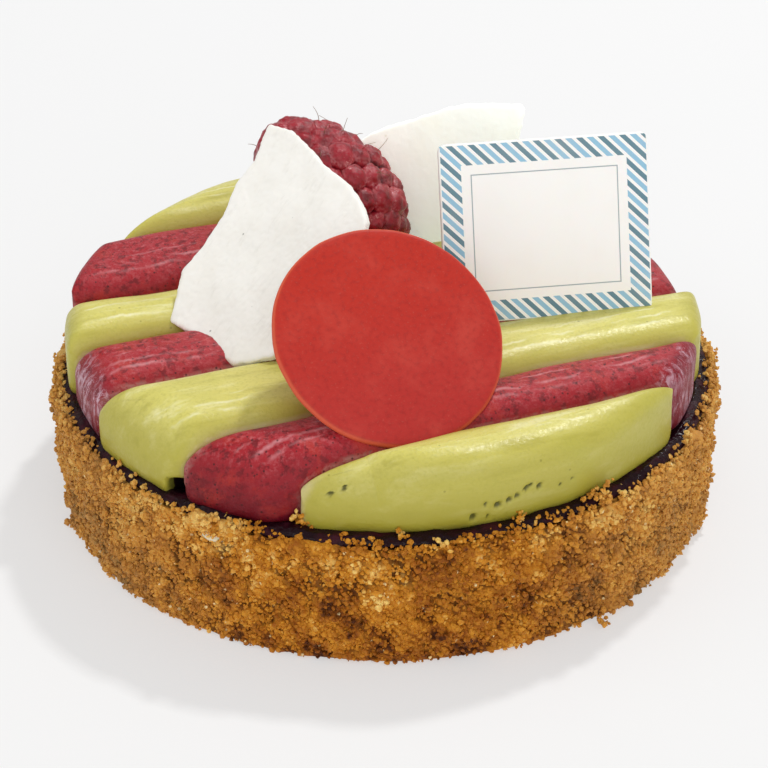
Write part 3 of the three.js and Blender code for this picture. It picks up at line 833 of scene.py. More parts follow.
def bar_mesh(ice, i):
    """Bar number i with slow waves in its skin, and the values that its material needs."""
    mesh = bar_skin(ice, i, 0.34 if i == 0 else 0.5)
    places = corners(mesh)
    along, across, height = places[:, 0].copy(), places[:, 1].copy(), places[:, 2]
    bottom = BAR["bottom"]
    reach = np.hypot(along, across) - between(BARS[i][2], along)
    frosted = along * FROSTED_ENDS.get(BARS[i][0], 0) > 20
    above_foot = smoothstep(height, bottom + 2, bottom + 7)
    inside = smoothstep(-outside_bar(i, along, across), 0.1, 1.15 * ice.shoulder / MM)
    for name, values in (
        ("from_seam", across - seam_at(i, along)),
        # frost marks the open ends, both for their rime and for the painted shade in their hollow.
        ("frost", np.where(frosted, smoothstep(reach, -3.2, -0.6), 0)),
        ("crest", inside * above_foot),
        ("edge", contact_line(ice, i, along, across, height)),
        ("level", smoothstep(height, bottom + 0.5, BARS[i][1] - 2.5)),
    ):
        keep_value(mesh, name, values)
    cos, sin = math.cos(BAR_DIRECTION), math.sin(BAR_DIRECTION)
    places[:, 0], places[:, 1] = along * cos - across * sin, along * sin + across * cos
    above = smoothstep(height, bottom, bottom + 3)[:, None]
    for size, tall in ((9.0, 0.16), (3.6, 0.07)):
        waves = [smooth_noise(places, size, seed + 3 * i) for seed in (1.0, 11.0, 23.0)]
        places += np.stack(waves, axis=1) * tall * above
    pits = np.zeros(len(places))
    if i == 0:
        pits = press_pores(places)
    elif i in HOLLOW_BARS:
        pits = hollow_out(places)
    move_corners(mesh, places)
    keep_value(mesh, "pit", pits)
    return mesh


# ---- Toppings ----


def berry_places(total):
    """Middles of the drupelets over a blunt egg, spread evenly, and the ways out of it there."""
    k = np.arange(total)
    height = 1 - (2 * k + 1) / total
    ring = np.sqrt(1 - height**2)
    ball = np.stack([ring * np.cos(k * GOLDEN_ANGLE), ring * np.sin(k * GOLDEN_ANGLE), height], axis=1)
    out = ball / BERRY["reach"]
    return ball * BERRY["reach"], out / np.linalg.norm(out, axis=1)[:, None]


def berry_frame():
    """The turn that lays the berry's length along its axis."""
    return np.array(Vector((0, 0, 1)).rotation_difference(Vector(BERRY["axis"])).to_matrix())


def berry_mesh(toppings):
    """A raspberry: plump drupelets packed over a blunt egg."""
    random = np.random.default_rng(12)
    middles, out = berry_places(toppings.drupelets)
    shape = bmesh.new()
    level = shape.verts.layers.float.new("dome")
    for k, middle in enumerate(middles):
        radius = random.uniform(1.85, 2.45)
        spot = Vector(middle - out[k] * radius * random.uniform(0.74, 0.98))
        turn = Vector((0, 0, 1)).rotation_difference(Vector(out[k])).to_matrix().to_4x4()
        squash = Matrix.Diagonal((random.uniform(0.85, 1.08), random.uniform(0.85, 1.08), 0.84, 1))
        made = bmesh.ops.create_icosphere(
            shape, subdivisions=4, radius=radius, matrix=Matrix.Translation(spot) @ turn @ squash)
        for vert in made["verts"]:
            away = vert.co - spot
            wrinkle = 0.3 * noise.noise(vert.co / 1.1) + 0.13 * noise.noise(vert.co / 0.45)
            vert[level] = away.dot(Vector(out[k])) / radius
            vert.co += away.normalized() * wrinkle
    core = bmesh.ops.create_icosphere(shape, subdivisions=4, radius=1)
    for vert in core["verts"]:
        vert.co = Vector(np.array(vert.co) * (BERRY["reach"] - 1.9))
    mesh = bpy.data.meshes.new("raspberry")
    shape.to_mesh(mesh)
    shape.free()
    places = corners(mesh) @ berry_frame().T + np.array(BERRY["centre"])
    move_corners(mesh, places)
    return mesh


def hairs_mesh(toppings):
    """Fine dry styles that stand up from the raspberry, curved and tapered."""
    random = np.random.default_rng(21)
    shape = bmesh.new()
    bmesh.ops.create_cone(shape, cap_ends=True, segments=5, radius1=0.05, radius2=0.03, depth=1)
    upright = [e for e in shape.edges if abs(e.verts[0].co.z - e.verts[1].co.z) > 0.5]
    bmesh.ops.subdivide_edges(shape, edges=upright, cuts=7)
    points, faces = template(shape)
    roots, out = (part @ berry_frame().T for part in berry_places(toppings.drupelets))
    chosen = random.permutation(np.flatnonzero(out[:, 2] > 0.3))[: toppings.hairs]
    spots = []
    for k in chosen:
        root = roots[k] + np.array(BERRY["centre"]) - 0.3 * out[k]
        heading = Vector(out[k] + random.normal(0, 0.35, 3)).normalized()
        stand = np.array(Vector((0, 0, 1)).rotation_difference(heading).to_matrix())
        part = points[:, 2:] + 0.5
        flat = (points * (1, 1, 0)) @ stand.T
        bend = random.normal(0, 0.5, 3)
        spots.append(root + flat + np.array(heading) * random.uniform(1.2, 2.3) * part + bend * part**2)
    return joined("raspberry_hairs", faces, np.array(spots))


def shard_mesh(name, shard, toppings, seed):
    """A shard of dried meringue: a thin broken sheet with a rough edge and a fibrous face."""
    thickness = toppings.shard / MM
    shape = bmesh.new()
    face = shape.faces.new([shape.verts.new((x, y, -thickness / 2)) for x, y in shard["outline"]])
    made = bmesh.ops.extrude_face_region(shape, geom=[face])
    top = [v for v in made["geom"] if isinstance(v, bmesh.types.BMVert)]
    bmesh.ops.translate(shape, verts=top, vec=(0, 0, thickness))
    rough = evaluated(
        mesh_from(shape, name), name,
        ("REMESH", {"mode": "VOXEL", "voxel_size": 0.24}),
        ("SMOOTH", {"factor": 0.5, "iterations": 2}),
    )
    places = corners(rough)
    edge = smooth_noise(places, 1.1, seed)
    fine = smooth_noise(places, 0.5, seed + 5)
    slow = smooth_noise(places * (1, 1, 0), 7.0, seed)
    places[:, 0] += 0.16 * edge + 0.05 * fine
    places[:, 1] += 0.16 * smooth_noise(places, 1.1, seed + 9)
    places[:, 2] += 0.28 * slow + 0.05 * fine + 0.05 * smooth_noise(places, 2.2, seed + 3)
    keep_local(rough, places)
    move_corners(rough, stood_up(places, shard["foot"], shard["lean"], shard["turn"]))
    return rough


def keep_local(mesh, places):
    """Keep each vertex's place on the flat piece, in metres, as a UV map."""
    layer = mesh.uv_layers.new(name="face_place")
    loops = np.empty(len(mesh.loops), np.int32)
    mesh.loops.foreach_get("vertex_index", loops)
    layer.data.foreach_set("uv", (places[loops, :2] * MM).astype(np.float32).ravel())


def disc_mesh(toppings):
    """A chocolate disc with a rounded rim and a faintly uneven edge."""
    half, radius = toppings.disc / MM / 2, DISC["radius"]
    turn = np.linspace(-math.pi / 2, math.pi / 2, 9)
    rim = [(radius - half + half * math.cos(t), half * math.sin(t)) for t in turn]
    under = [(radius - half) * part for part in np.linspace(0, 1, 24)[:-1]]
    path = [(r, -half) for r in under] + rim + [(r, half) for r in reversed(under)]
    mesh = turned("chocolate_disc", path, 110, 1)
    places = corners(mesh)
    reach = np.hypot(places[:, 0], places[:, 1])
    # Marks the rim, where the material paints its highlight.
    keep_value(mesh, "rim", smoothstep(reach, radius - 0.45, radius - 0.1))
    wobble = smooth_noise(places * (1, 1, 0), 3.0, 6.0) * smoothstep(reach, radius - 2, radius)
    places[:, :2] *= (1 + 0.006 * wobble)[:, None]
    places[:, 2] += 0.06 * smooth_noise(places * (1, 1, 0), 4.0, 2.0)
    keep_local(mesh, places)
    move_corners(mesh, stood_up(places, DISC["centre"], DISC["lean"], DISC["turn"]))
    return mesh


def plaque_mesh(toppings):
    """A thin plaque with rounded corners and softened edges."""
    width, height, thickness = PLAQUE["width"], PLAQUE["height"], toppings.plaque / MM
    shape = bmesh.new()
    size = Matrix.Diagonal((width, height, thickness, 1))
    middle = Matrix.Translation((width / 2, height / 2, 0))
    bmesh.ops.create_cube(shape, size=1, matrix=middle @ size)
    upright = [e for e in shape.edges if abs(e.verts[0].co.z - e.verts[1].co.z) > thickness / 2]
    bmesh.ops.bevel(
        shape, geom=upright, offset=1.0, offset_type="OFFSET", segments=8, profile=0.5,
        affect="EDGES", material=-1)
    flat = [f for f in shape.faces if abs(f.normal.z) > 0.9]
    border = [e for f in flat for e in f.edges]
    bmesh.ops.bevel(
        shape, geom=border, offset=0.22, offset_type="OFFSET", segments=3, profile=0.5,
        affect="EDGES", material=-1)
    mesh = mesh_from(shape, "plaque")
    places = corners(mesh)
    keep_local(mesh, places)
    move_corners(mesh, stood_up(places, PLAQUE["foot"], PLAQUE["lean"], PLAQUE["turn"]))
    return mesh


# ---- Materials ----


def dots(add, place, size, edge, core, rare, most=1.0):
    """Dots in some cells of a pattern so many millimetres across, from 0 to most."""
    dot = add("MapRange", add("TexVoronoi", place, per(size)), edge, core, 0.0, most)
    pick = add("TexVoronoi", place, per(size), out="Color")
    return add("Math", dot, add("Math", pick, rare, operation="GREATER_THAN"))


def drawn_out(add, place, stretch, *settings):
    """Noise drawn out along the axes."""
    return add("TexNoise", add("Mapping", place, None, None, stretch), *settings)


def crumb_material(crust):
    """Biscuit crumb, buttered, pressed and baked: dry and grainy, gold where it took most butter,
    browner low down, paler at the left and right sides as painted light, with pale crystals whose
    brightness is partly a painted glint, and painted shade deep in its pits."""

    def build(add, place):
        patches = add("TexNoise", place, per(7.0), 3.0, 0.6)
        clumps = add("TexNoise", place, per(2.4), 3.0, 0.6)
        speckle = add("TexNoise", place, per(0.7), 3.0, 0.7)
        golden = -0.24
        for part, weight in (
            (add("Attribute", attribute_name="tone", out="Fac"), 0.3),
            (add("MapRange", patches, 0.38, 0.62), 0.38),
            (add("MapRange", clumps, 0.3, 0.7), 0.32),
            (add("MapRange", add("SeparateXYZ", place, out="Z"), 3 * MM, 17 * MM), 0.22),
            (speckle, 0.3),
        ):
            golden = add("Math", part, weight, golden, operation="MULTIPLY_ADD")
        colour = add("ValToRGB", golden)
        elements = colour.node.color_ramp.elements
        elements[0].position, elements[0].color = 0.1, crust.shade
        elements[1].position, elements[1].color = 1.0, linear("#F0C873")
        elements.new(0.28).color = crust.toast
        elements.new(0.74).color = crust.gold
        side = add("Math", add("SeparateXYZ", place, out="X"), operation="ABSOLUTE")
        pit = add("Attribute", attribute_name="openness", out="Fac")
        layers = (
            # Painted light: the wall grows paler towards its left and right sides.
            (add("MapRange", side, 14 * MM, 40 * MM, 0.0, 0.5), crust.tan),
            # Pale crystal crumbs, their brightness partly a painted glint.
            (dots(add, place, 0.8, 0.34, 0.2, 0.84), "#EBCF98"),
            # Painted shade: darker where the crust's relief sinks into pits.
            (add("MapRange", pit, -0.2, -0.95, 0.0, 0.85), crust.shade),
        )
        return colour, layers, add("MapRange", speckle, 0.35, 0.65, 0.45, 0.8), speckle, 0.1

    return finish_material(
        "pressed_biscuit_crumb", build, Subsurface_Weight=0.12, Subsurface_Scale=0.001,
        Subsurface_Radius=(1.0, 0.5, 0.2), Specular_IOR_Level=0.15)


def cream_material(fillings):
    """Whipped cream, set cold: soft and matt, with a faint sheen."""

    def build(add, place):
        mottle = add("TexNoise", place, per(2.0))
        return fillings.cream, ((mottle, "#D9BE8C"),), 0.6, mottle, 0.05

    return finish_material("set_cream", build, Subsurface_Weight=0.3, Subsurface_Scale=0.002)


def jam_material(fillings):
    """Dark berry jam, boiled thick: nearly black in a thick layer, wine red where it thins, and wet."""

    def build(add, place):
        body = add("TexNoise", place, per(2.5), 3.0)
        layers = ((add("MapRange", body, 0.45, 0.75), "#43101F"),)
        rough = add("MapRange", body, 0.3, 0.7, 0.2, 0.5)
        return fillings.jam, layers, rough, add("TexNoise", place, per(0.8)), 0.3

    return finish_material("dark_berry_jam", build, Specular_IOR_Level=0.16)


def painted_highlight_lines(add, turned_place, offsets):
    """Painted highlight: thin wavy broken pale lines along a bar's crest, where light glints off its shoulder, from
    0 to 1.
    """
    wander = drawn_out(add, turned_place, (0.8, 0.15, 0.15), per(6.0), 4.0, 0.65)
    breaks = drawn_out(add, turned_place, (0.6, 1.6, 1.0), per(4.0), 3.0, 0.6)
    seam, crest = kept_values(add, "from_seam", "crest")
    across = add("Math", wander, 3.2, seam, operation="MULTIPLY_ADD")
    total = 0.0
    for offset, width in offsets:
        away = add("Math", across, offset + 1.6, operation="SUBTRACT")
        away = add("Math", away, operation="ABSOLUTE")
        total = add("Math", add("MapRange", away, width, 0.0), total, operation="ADD")
    lit = add("Math", total, add("MapRange", breaks, 0.42, 0.66))
    return add("Math", lit, add("MapRange", crest, 0.5, 0.9))


def pistachio_material(ice):
    """Pistachio ice, churned and scooped: smooth, satin and a little translucent. Painted light and
    shade make it lime on its crest and olive low on its sides. It has soft bands, the pale ones also a
    painted sheen on the crest, painted highlight lines along it, and painted shade in its small pores
    and its hollow."""

    def build(add, place):
        turned_place = add("Mapping", place, None, ALONG_BARS)
        body = add("TexNoise", place, per(9.0), 3.0)
        speck = add("TexNoise", place, per(0.45), 3.0, 0.6)
        bands = drawn_out(add, turned_place, (0.16, 1.0, 1.0), per(2.4), 4.0, 0.6)
        crest, level, pit, edge = kept_values(add, "crest", "level", "pit", "edge")
        # Painted light and shade: the lit colour on the crest and higher up, the shaded colour low on the sides.
        shade = add("Math", level, 0.38, add("Math", crest, 0.62), operation="MULTIPLY_ADD")
        light = add("MapRange", bands, 0.5, 0.3)
        most = add("Math", crest, 0.5, 0.1, operation="MULTIPLY_ADD")
        line = painted_highlight_lines(add, turned_place, ((3.2, 0.5), (4.7, 0.4), (6.3, 0.3)))
        layers = (
            (shade, ice.pistachio),
            (add("MapRange", bands, 0.52, 0.72, 0.0, 0.55), "#A9A03A"),
            # Pale bands, stronger on the crest: partly pale marbling, partly a painted sheen.
            (add("Math", light, most), "#F0EBB4"),
            (add("MapRange", body, 0.5, 0.75, 0.0, 0.3), "#B6B24A"),
            (add("MapRange", speck, 0.45, 0.75, 0.0, 0.32), "#AAA442"),
            # Painted highlight lines along the crest.
            (add("Math", line, 0.6), "#F5F3CC"),
            (add("Math", edge, add("MapRange", body, 0.35, 0.6, 0.0, 0.4)), "#E8D8B4"),
            (dots(add, place, 2.2, 0.1, 0.05, 0.6, 0.5), "#837C2C"),
            # Painted shade inside the pores, and black painted shade in the hollow.
            (add("MapRange", pit, 0.1, 0.7, 0.0, 0.85), "#4C4D18"),
            (add("MapRange", pit, 1.05, 1.3), "#120508"),
        )
        return ice.pistachio_in_shade, layers, add("MapRange", speck, 0.3, 0.7, 0.3, 0.46), speck, 0.06

    return finish_material(
        "churned_pistachio_ice", build, Subsurface_Weight=0.3, Subsurface_Scale=0.002,
        Subsurface_Radius=(1.0, 0.9, 0.4), Specular_IOR_Level=0.4)


def raspberry_ice_material(ice):
    """Raspberry sorbet, churned with its seeds: grainy with ice crystals, frost flecks and dark clots.
    Painted light and shade make its crest pink, with a painted sheen and stronger frost there, over
    deep red in shade low down; painted highlight lines run along it, lilac rime is drawn down its open
    ends over painted shade, and its hollow is painted black as shade."""

    def build(add, place):
        turned_place = add("Mapping", place, None, ALONG_BARS)
        body = add("TexNoise", place, per(4.5), 4.0, 0.6)
        rime = add("TexNoise", place, per(0.7), 5.0, 0.75)
        clots = add("TexNoise", place, per(1.2), 4.0, 0.7)
        bands = drawn_out(add, turned_place, (0.16, 1.0, 1.0), per(2.0), 4.0, 0.6)
        crest, level, pit, edge, frost = kept_values(add, "crest", "level", "pit", "edge", "frost")
        # Painted light and shade: lighter on the crest and higher up, darker low on the sides.
        lit = add("Math", crest, 0.5, -0.2, operation="MULTIPLY_ADD")
        lit = add("Math", level, 0.55, lit, operation="MULTIPLY_ADD")
        shade = add("Math", body, 0.4, lit, operation="MULTIPLY_ADD")
        frosty = add("MapRange", rime, 0.46, 0.68)
        hazy = add("MapRange", bands, 0.45, 0.7)
        line = painted_highlight_lines(add, turned_place, ((3.0, 0.5), (4.4, 0.45), (6.2, 0.3)))
        fibres = drawn_out(add, place, (1, 1, 0.3), per(1.3), 6.0, 0.8, None, 1.2)
        fibres = add("Math", add("MapRange", fibres, 0.46, 0.62), frost)
        layers = (
            (add("MapRange", shade, 0.0, 0.95), ice.raspberry),
            (add("MapRange", body, 0.5, 0.66, 0.0, 0.5), "#B8301F"),
            # Frost flecks, real rime, made stronger on the lit crest as painted light.
            (add("Math", frosty, add("MapRange", lit, 0.2, 0.85, 0.06, 0.44)), ice.frost),
            # Painted sheen: a pinkish haze on the lit crest.
            (add("Math", hazy, add("MapRange", lit, 0.3, 0.8, 0.0, 0.2)), "#C65A62"),
            (add("MapRange", clots, 0.49, 0.63, 0.0, 0.78), "#6C0814"),
            # Painted shade: darker low down on the bars.
            (add("MapRange", level, 0.0, 0.5, 0.4, 0.0), "#5B0F24"),
            # Painted highlight lines along the crest.
            (add("Math", line, 0.5), "#E2A6AA"),
            (add("Math", edge, add("MapRange", clots, 0.4, 0.6, 0.1, 0.5)), "#DB9C94"),
            (dots(add, place, 0.8, 0.24, 0.12, 0.52, 0.75), "#2C070E"),
            # Painted shade: darker red in the hollow of the frosted open ends.
            (add("Math", frost, 0.6), "#7A1226"),
            (add("Math", fibres, add("MapRange", body, 0.35, 0.6, 0.25, 0.85)), "#DDBAC8"),
            # Black painted shade in the hollow between the bars.
            (add("MapRange", pit, 0.9, 1.2), "#120508"),
        )
        return ice.raspberry_in_shade, layers, add("MapRange", rime, 0.3, 0.7, 0.3, 0.6), rime, 0.16

    return finish_material(
        "churned_raspberry_sorbet", build, Subsurface_Weight=0.15, Subsurface_Scale=0.001,
        Subsurface_Radius=(1.0, 0.25, 0.25), Specular_IOR_Level=0.3)


def berry_material(toppings):
    """Raspberry skin, fresh and unwashed: deep red and glossy on each drupelet, with a painted pale
    highlight round its edge, white frost in flecks and painted shade, nearly black, in the creases between."""

    def build(add, place):
        body = add("TexNoise", place, per(1.8), 3.0, 0.6)
        fuzz = add("TexNoise", place, per(0.45), 4.0, 0.7)
        dome = add("Attribute", attribute_name="dome", out="Fac")
        edge = add("MapRange", dome, 0.72, 0.5)
        edge = add("Math", edge, add("MapRange", dome, 0.3, 0.46, 0.0, 0.5))
        flecks = add("MapRange", fuzz, 0.56, 0.68, 0.0, 0.8)
        layers = (
            (add("MapRange", body, 0.42, 0.66, 0.0, 0.8), "#6A0A16"),
            # Painted highlight: a pale edge round each drupelet.
            (add("Math", edge, add("MapRange", fuzz, 0.4, 0.6)), "#D97C80"),
            (add("Math", flecks, add("MapRange", body, 0.5, 0.38)), "#EFC4C0"),
            # Painted shade: nearly black in the creases between drupelets.
            (add("MapRange", dome, 0.4, 0.05, 0.0, 0.85), "#3C040A"),
        )
        return toppings.berry, layers, 0.3, fuzz, 0.14

    return finish_material(
        "raspberry_skin", build, Subsurface_Weight=0.2, Subsurface_Scale=0.001,
        Subsurface_Radius=(1.0, 0.2, 0.15), Specular_IOR_Level=0.5)


def hair_material():
    """Dried styles of the flower: thin, matt and brown, paler in places."""

    def build(add, place):
        return "#54361E", ((add("TexNoise", place, per(1.0)), "#A08058"),), 0.6, None, 0

    return finish_material("dry_styles", build)


def meringue_material(name, white, speck, warm, painted_glow):
    """Meringue, spread thin and dried: matt and papery, with a faint fibre and sparse specks, and a
    faint greenish painted glow that stands in for light shining through it."""

    def build(add, place):
        flat = add("UVMap", uv_map="face_place")
        fibre = drawn_out(add, flat, (1, 0.35, 1), per(1.6), 4.0, 0.7)
        foot = add("SeparateXYZ", flat, out="Y")
        foot = add("MapRange", foot, 0.9 * MM, -0.2 * MM, 0.0, 0.6)
        layers = (
            (add("MapRange", add("TexNoise", flat, per(6.0), 3.0), 0.4, 0.75, 0.0, 0.5), warm),
            (add("MapRange", fibre, 0.52, 0.7, 0.0, 0.25), "#D9D5CC"),
            (dots(add, flat, 2.6, 0.09, 0.04, 0.62, 0.6), speck),
            (add("Math", foot, add("MapRange", fibre, 0.4, 0.6)), "#E9B7AC"),
        )
        return white, layers, 0.8, fibre, 0.12

    return finish_material(
        name, build, Subsurface_Weight=0.15, Subsurface_Scale=0.002, Subsurface_Radius=(1.0, 0.9, 0.8),
        # The emission is a painted glow for light shining through the sheet.
        Specular_IOR_Level=0.2, Emission_Color="#E2F4E8", Emission_Strength=painted_glow)


def chocolate_material(toppings):
    """Coloured chocolate, cast thin: satin and softly mottled, grainy close to, and a paler,
    more orange painted highlight along its rounded rim."""

    def build(add, place):
        flat = add("UVMap", uv_map="face_place")
        cloud = add("TexNoise", flat, per(7.0), 3.0, 0.6)
        grit = add("TexNoise", flat, per(0.7), 4.0, 0.7)
        dust = add("TexNoise", flat, per(0.35), 3.0, 0.7)
        rim = add("Attribute", attribute_name="rim", out="Fac")
        layers = (
            (add("MapRange", add("SeparateXYZ", flat, out="Y"), -13 * MM, 10 * MM), toppings.red),
            (add("MapRange", cloud, 0.45, 0.75, 0.0, 0.35), "#CC4F41"),
            (add("MapRange", grit, 0.45, 0.7, 0.0, 0.45), "#8E1B1A"),
            (add("MapRange", dust, 0.55, 0.75, 0.0, 0.3), "#DC6A58"),
            # Painted highlight along the rounded rim.
            (add("Math", rim, 0.55), "#EE7550"),
        )
        return "#B22C27", layers, add("MapRange", cloud, 0.3, 0.7, 0.45, 0.58), grit, 0.04

    return finish_material("satin_red_chocolate", build, Specular_IOR_Level=0.2)


def plaque_material(toppings):
    """White chocolate, cast flat and printed: ivory and satin, with a border of slanting stripes
    and a thin frame inside it."""

    def build(add, place):
        flat = add("UVMap", uv_map="face_place")
        x, y = (add("Math", add("SeparateXYZ", flat, out=k), MM, operation="DIVIDE") for k in "XY")
        inset = x
        for side in (
            add("Math", PLAQUE["width"], x, operation="SUBTRACT"), y,
            add("Math", PLAQUE["height"], y, operation="SUBTRACT"),
        ):
            inset = add("Math", inset, side, operation="MINIMUM")
        slant = add("Math", add("Math", x, y, operation="ADD"), STRIPE, operation="DIVIDE")
        stripe = add("ValToRGB", add("Math", slant, operation="FRACT"))
        ramp = stripe.node.color_ramp
        ramp.interpolation = "CONSTANT"
        ramp.elements[0].color = toppings.blue
        ramp.elements[1].position, ramp.elements[1].color = 0.3, toppings.ivory
        ramp.elements.new(0.5).color = toppings.slate
        ramp.elements.new(0.8).color = toppings.ivory
        inner = add("MapRange", inset, 2.92, 2.86)
        away = add("Math", add("Math", inset, FRAME_INSET, operation="SUBTRACT"), operation="ABSOLUTE")
        cloud = add("TexNoise", flat, per(5.0), 3.0)
        layers = (
            (add("Math", inner, add("MapRange", inset, 0.18, 0.24)), stripe),
            (add("MapRange", away, 0.1, 0.05, 0.0, 0.8), "#6F8790"),
            (add("MapRange", cloud, 0.4, 0.8, 0.0, 0.12), "#EDE6D8"),
        )
        return toppings.ivory, layers, 0.38, cloud, 0.02

    return finish_material(
        "printed_white_chocolate", build, Subsurface_Weight=0.1, Subsurface_Scale=0.001)


def floor_material(stage):
    """A white acrylic table lit from below: matt and even, so that what stands on it casts soft shadows."""

    def build(add, place):
        cloud = add("Math", add("TexNoise", place, per(60.0)), 0.05)
        return stage.floor, ((cloud, "#9E9E9E"),), 0.7, None, 0

    return finish_material(
        "lit_white_acrylic", build, Specular_IOR_Level=0.2, Emission_Color="#FFFFFF",
        Emission_Strength=stage.glow)


# ---- Operators ----


class TART_OT_crust(bpy.types.Operator):
    """Build the cup of pressed crumbs"""

    bl_idname = "tart.crust"
    bl_label = "Crust"

    def execute(self, context):
        crust = context.scene.tart_crust
        material = crumb_material(crust)
        new_piece("crumb_cup", crust_shell(crust), material, "crumb_crust", "crust", smooth=False)
        return {"FINISHED"}


class TART_OT_crumbs(bpy.types.Operator):
    """Scatter crumbs over the crust's wall and rim"""

    bl_idname = "tart.crumbs"
    bl_label = "Crumbs"

    def execute(self, context):
        crust = context.scene.tart_crust
        material = bpy.data.materials["pressed_biscuit_crumb"]
        meshes = [wall_crumbs(crust, *kind) for kind in WALL_CRUMBS]
        for mesh in (*meshes, coarse_crumbs(crust), rim_crumbs(crust)):
            new_piece(mesh.name, mesh, material, "crumb_crust", smooth=False)
        return {"FINISHED"}


class TART_OT_fillings(bpy.types.Operator):
    """Build the cream and the jam"""

    bl_idname = "tart.fillings"
    bl_label = "Fillings"

    def execute(self, context):
        fillings, crust = context.scene.tart_fillings, context.scene.tart_crust
        cream, jam = cream_material(fillings), jam_material(fillings)
        inner = (crust.radius - crust.wall) / MM - GAP
        bottom = crust.floor / MM + GAP
        layer = filling_mesh("cream", ((0, bottom), (inner, bottom), (inner, CREAM_TOP)), 0.0)
        add_lip(layer)
        new_piece("cream", layer, cream, "cream", "cream_filling")
        brim = ((0, CREAM_TOP + GAP), (inner, CREAM_TOP + GAP), (inner, JAM_TOP - 0.2), *JAM_BRIM)
        new_piece("jam", filling_mesh("jam", brim, 0.35), jam, "jam", "jam_layer")
        return {"FINISHED"}


class TART_OT_bars(bpy.types.Operator):
    """Build the seven bars of pistachio and raspberry ice"""

    bl_idname = "tart.bars"
    bl_label = "Ice bars"

    def execute(self, context):
        ice = context.scene.tart_ice
        looks = {"pistachio": pistachio_material(ice), "raspberry": raspberry_ice_material(ice)}
        for i, (node, *_) in enumerate(BARS):
            flavour = node.split("_")[0]
            new_piece(f"ice_{node}", bar_mesh(ice, i), looks[flavour], f"{flavour}_ice", node)
        return {"FINISHED"}


class TART_OT_raspberry(bpy.types.Operator):
    """Build the fresh raspberry and its fine hairs"""

    bl_idname = "tart.raspberry"
    bl_label = "Raspberry"

    def execute(self, context):
        toppings = context.scene.tart_toppings
        new_piece("fresh_raspberry", berry_mesh(toppings), berry_material(toppings), "fresh_raspberry", "raspberry")
        new_piece("raspberry_hairs", hairs_mesh(toppings), hair_material(), "fresh_raspberry")
        return {"FINISHED"}


class TART_OT_shards(bpy.types.Operator):
    """Build the two meringue shards"""

    bl_idname = "tart.shards"
    bl_label = "Meringue shards"

    def execute(self, context):
        toppings = context.scene.tart_toppings
        # The last number is each shard's painted glow; the back shard glows most.
        white = meringue_material("white_meringue", toppings.meringue, "#6B665C", "#F3EFE6", 0.03)
        ivory = meringue_material("ivory_meringue", "#FBFAF4", "#A98B5C", "#F4EEDF", 0.42)
        front = shard_mesh("front_shard", FRONT_SHARD, toppings, 2.0)
        back = shard_mesh("back_shard", BACK_SHARD, toppings, 7.0)
        new_piece("front_shard", front, white, "meringue", "meringue_shard_front")
        new_piece("back_shard", back, ivory, "meringue", "meringue_shard_back")
        return {"FINISHED"}


class TART_OT_disc(bpy.types.Operator):
    """Build the red chocolate disc"""

    bl_idname = "tart.disc"
    bl_label = "Chocolate disc"

    def execute(self, context):
        toppings = context.scene.tart_toppings
        new_piece("red_disc", disc_mesh(toppings), chocolate_material(toppings), "red_chocolate", "chocolate_disc")
        return {"FINISHED"}


class TART_OT_plaque(bpy.types.Operator):
    """Build the ivory plaque with its plain striped border"""

    bl_idname = "tart.plaque"
    bl_label = "Plaque"

    def execute(self, context):
        toppings = context.scene.tart_toppings
        new_piece("ivory_plaque", plaque_mesh(toppings), plaque_material(toppings), "white_chocolate", "plaque")
        return {"FINISHED"}


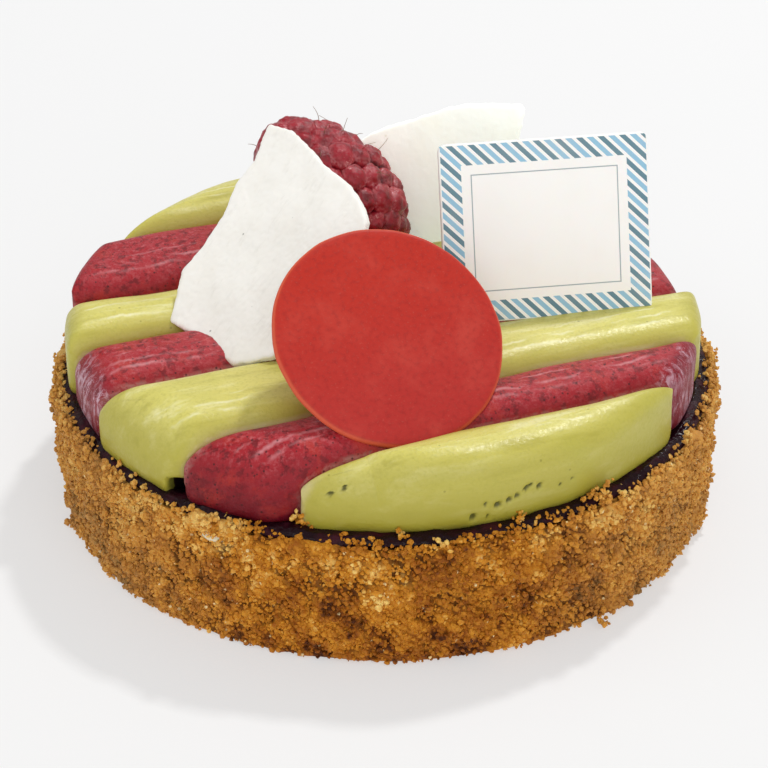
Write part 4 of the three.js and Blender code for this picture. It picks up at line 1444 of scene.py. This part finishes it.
class TART_OT_stage(bpy.types.Operator):
    """Set up the floor, the light and the camera"""

    bl_idname = "tart.stage"
    bl_label = "Stage"

    def execute(self, context):
        stage, scene = context.scene.tart_stage, context.scene
        shape = bmesh.new()
        bmesh.ops.create_grid(shape, x_segments=8, y_segments=8, size=2.5)
        floor = bpy.data.objects.new("pale_floor", mesh_from(shape, "pale_floor"))
        floor.data.materials.append(floor_material(stage))
        scene.collection.objects.link(floor)

        world = bpy.data.worlds.new("soft_sky")
        world.use_nodes = True
        sky = world.node_tree.nodes["Background"]
        sky.inputs["Color"].default_value = linear("#FFFFFF")
        sky.inputs["Strength"].default_value = stage.sky
        scene.world = world

        for name, spot, size, power in LIGHTS:
            lamp = bpy.data.lights.new(name, "AREA")
            lamp.size, lamp.energy = size, power
            holder = bpy.data.objects.new(name, lamp)
            holder.location = spot
            holder.rotation_euler = Vector(spot).to_track_quat("Z", "Y").to_euler()
            scene.collection.objects.link(holder)

        camera = bpy.data.cameras.new("camera")
        camera.lens, camera.sensor_width = FOCAL_PART * SENSOR, SENSOR
        camera.clip_start, camera.clip_end = 0.01, 10
        holder = bpy.data.objects.new("camera", camera)
        target = Vector(CAMERA_TARGET) * MM
        back = Vector((0, -math.cos(stage.elevation), math.sin(stage.elevation)))
        holder.location = target + back * stage.distance
        holder.rotation_euler = back.to_track_quat("Z", "Y").to_euler()
        scene.collection.objects.link(holder)
        scene.camera = holder
        scene.view_settings.view_transform = "Standard"
        return {"FINISHED"}


class TART_PT_panel(bpy.types.Panel):
    """The tart's pieces in the sidebar"""

    bl_idname = "TART_PT_panel"
    bl_label = "Raspberry tart"
    bl_space_type = "VIEW_3D"
    bl_region_type = "UI"
    bl_category = "Tart"

    def draw(self, context):
        for operator in OPERATORS:
            self.layout.operator(operator.bl_idname)
        for name in GROUPS:
            settings = getattr(context.scene, name)
            box = self.layout.box()
            for key in settings.bl_rna.properties.keys():
                if key not in ("rna_type", "name"):
                    box.prop(settings, key)


OPERATORS = (
    TART_OT_crust, TART_OT_crumbs, TART_OT_fillings, TART_OT_bars, TART_OT_raspberry,
    TART_OT_shards, TART_OT_disc, TART_OT_plaque, TART_OT_stage,
)
GROUPS = {
    "tart_crust": CrustSettings,
    "tart_fillings": FillingSettings,
    "tart_ice": IceSettings,
    "tart_toppings": ToppingSettings,
    "tart_stage": StageSettings,
}


def register():
    """Register the settings, the operators and the panel."""
    for name, group in GROUPS.items():
        bpy.utils.register_class(group)
        setattr(bpy.types.Scene, name, bpy.props.PointerProperty(type=group))
    for item in (*OPERATORS, TART_PT_panel):
        bpy.utils.register_class(item)


def unregister():
    """Take the settings, the operators and the panel away again."""
    for item in (TART_PT_panel, *reversed(OPERATORS)):
        bpy.utils.unregister_class(item)
    for name, group in reversed(GROUPS.items()):
        delattr(bpy.types.Scene, name)
        bpy.utils.unregister_class(group)


def main():
    """Build every piece and the stage."""
    register()
    for operator in OPERATORS:
        getattr(bpy.ops.tart, operator.bl_idname.split(".")[1])()


if __name__ == "__main__":
    main()
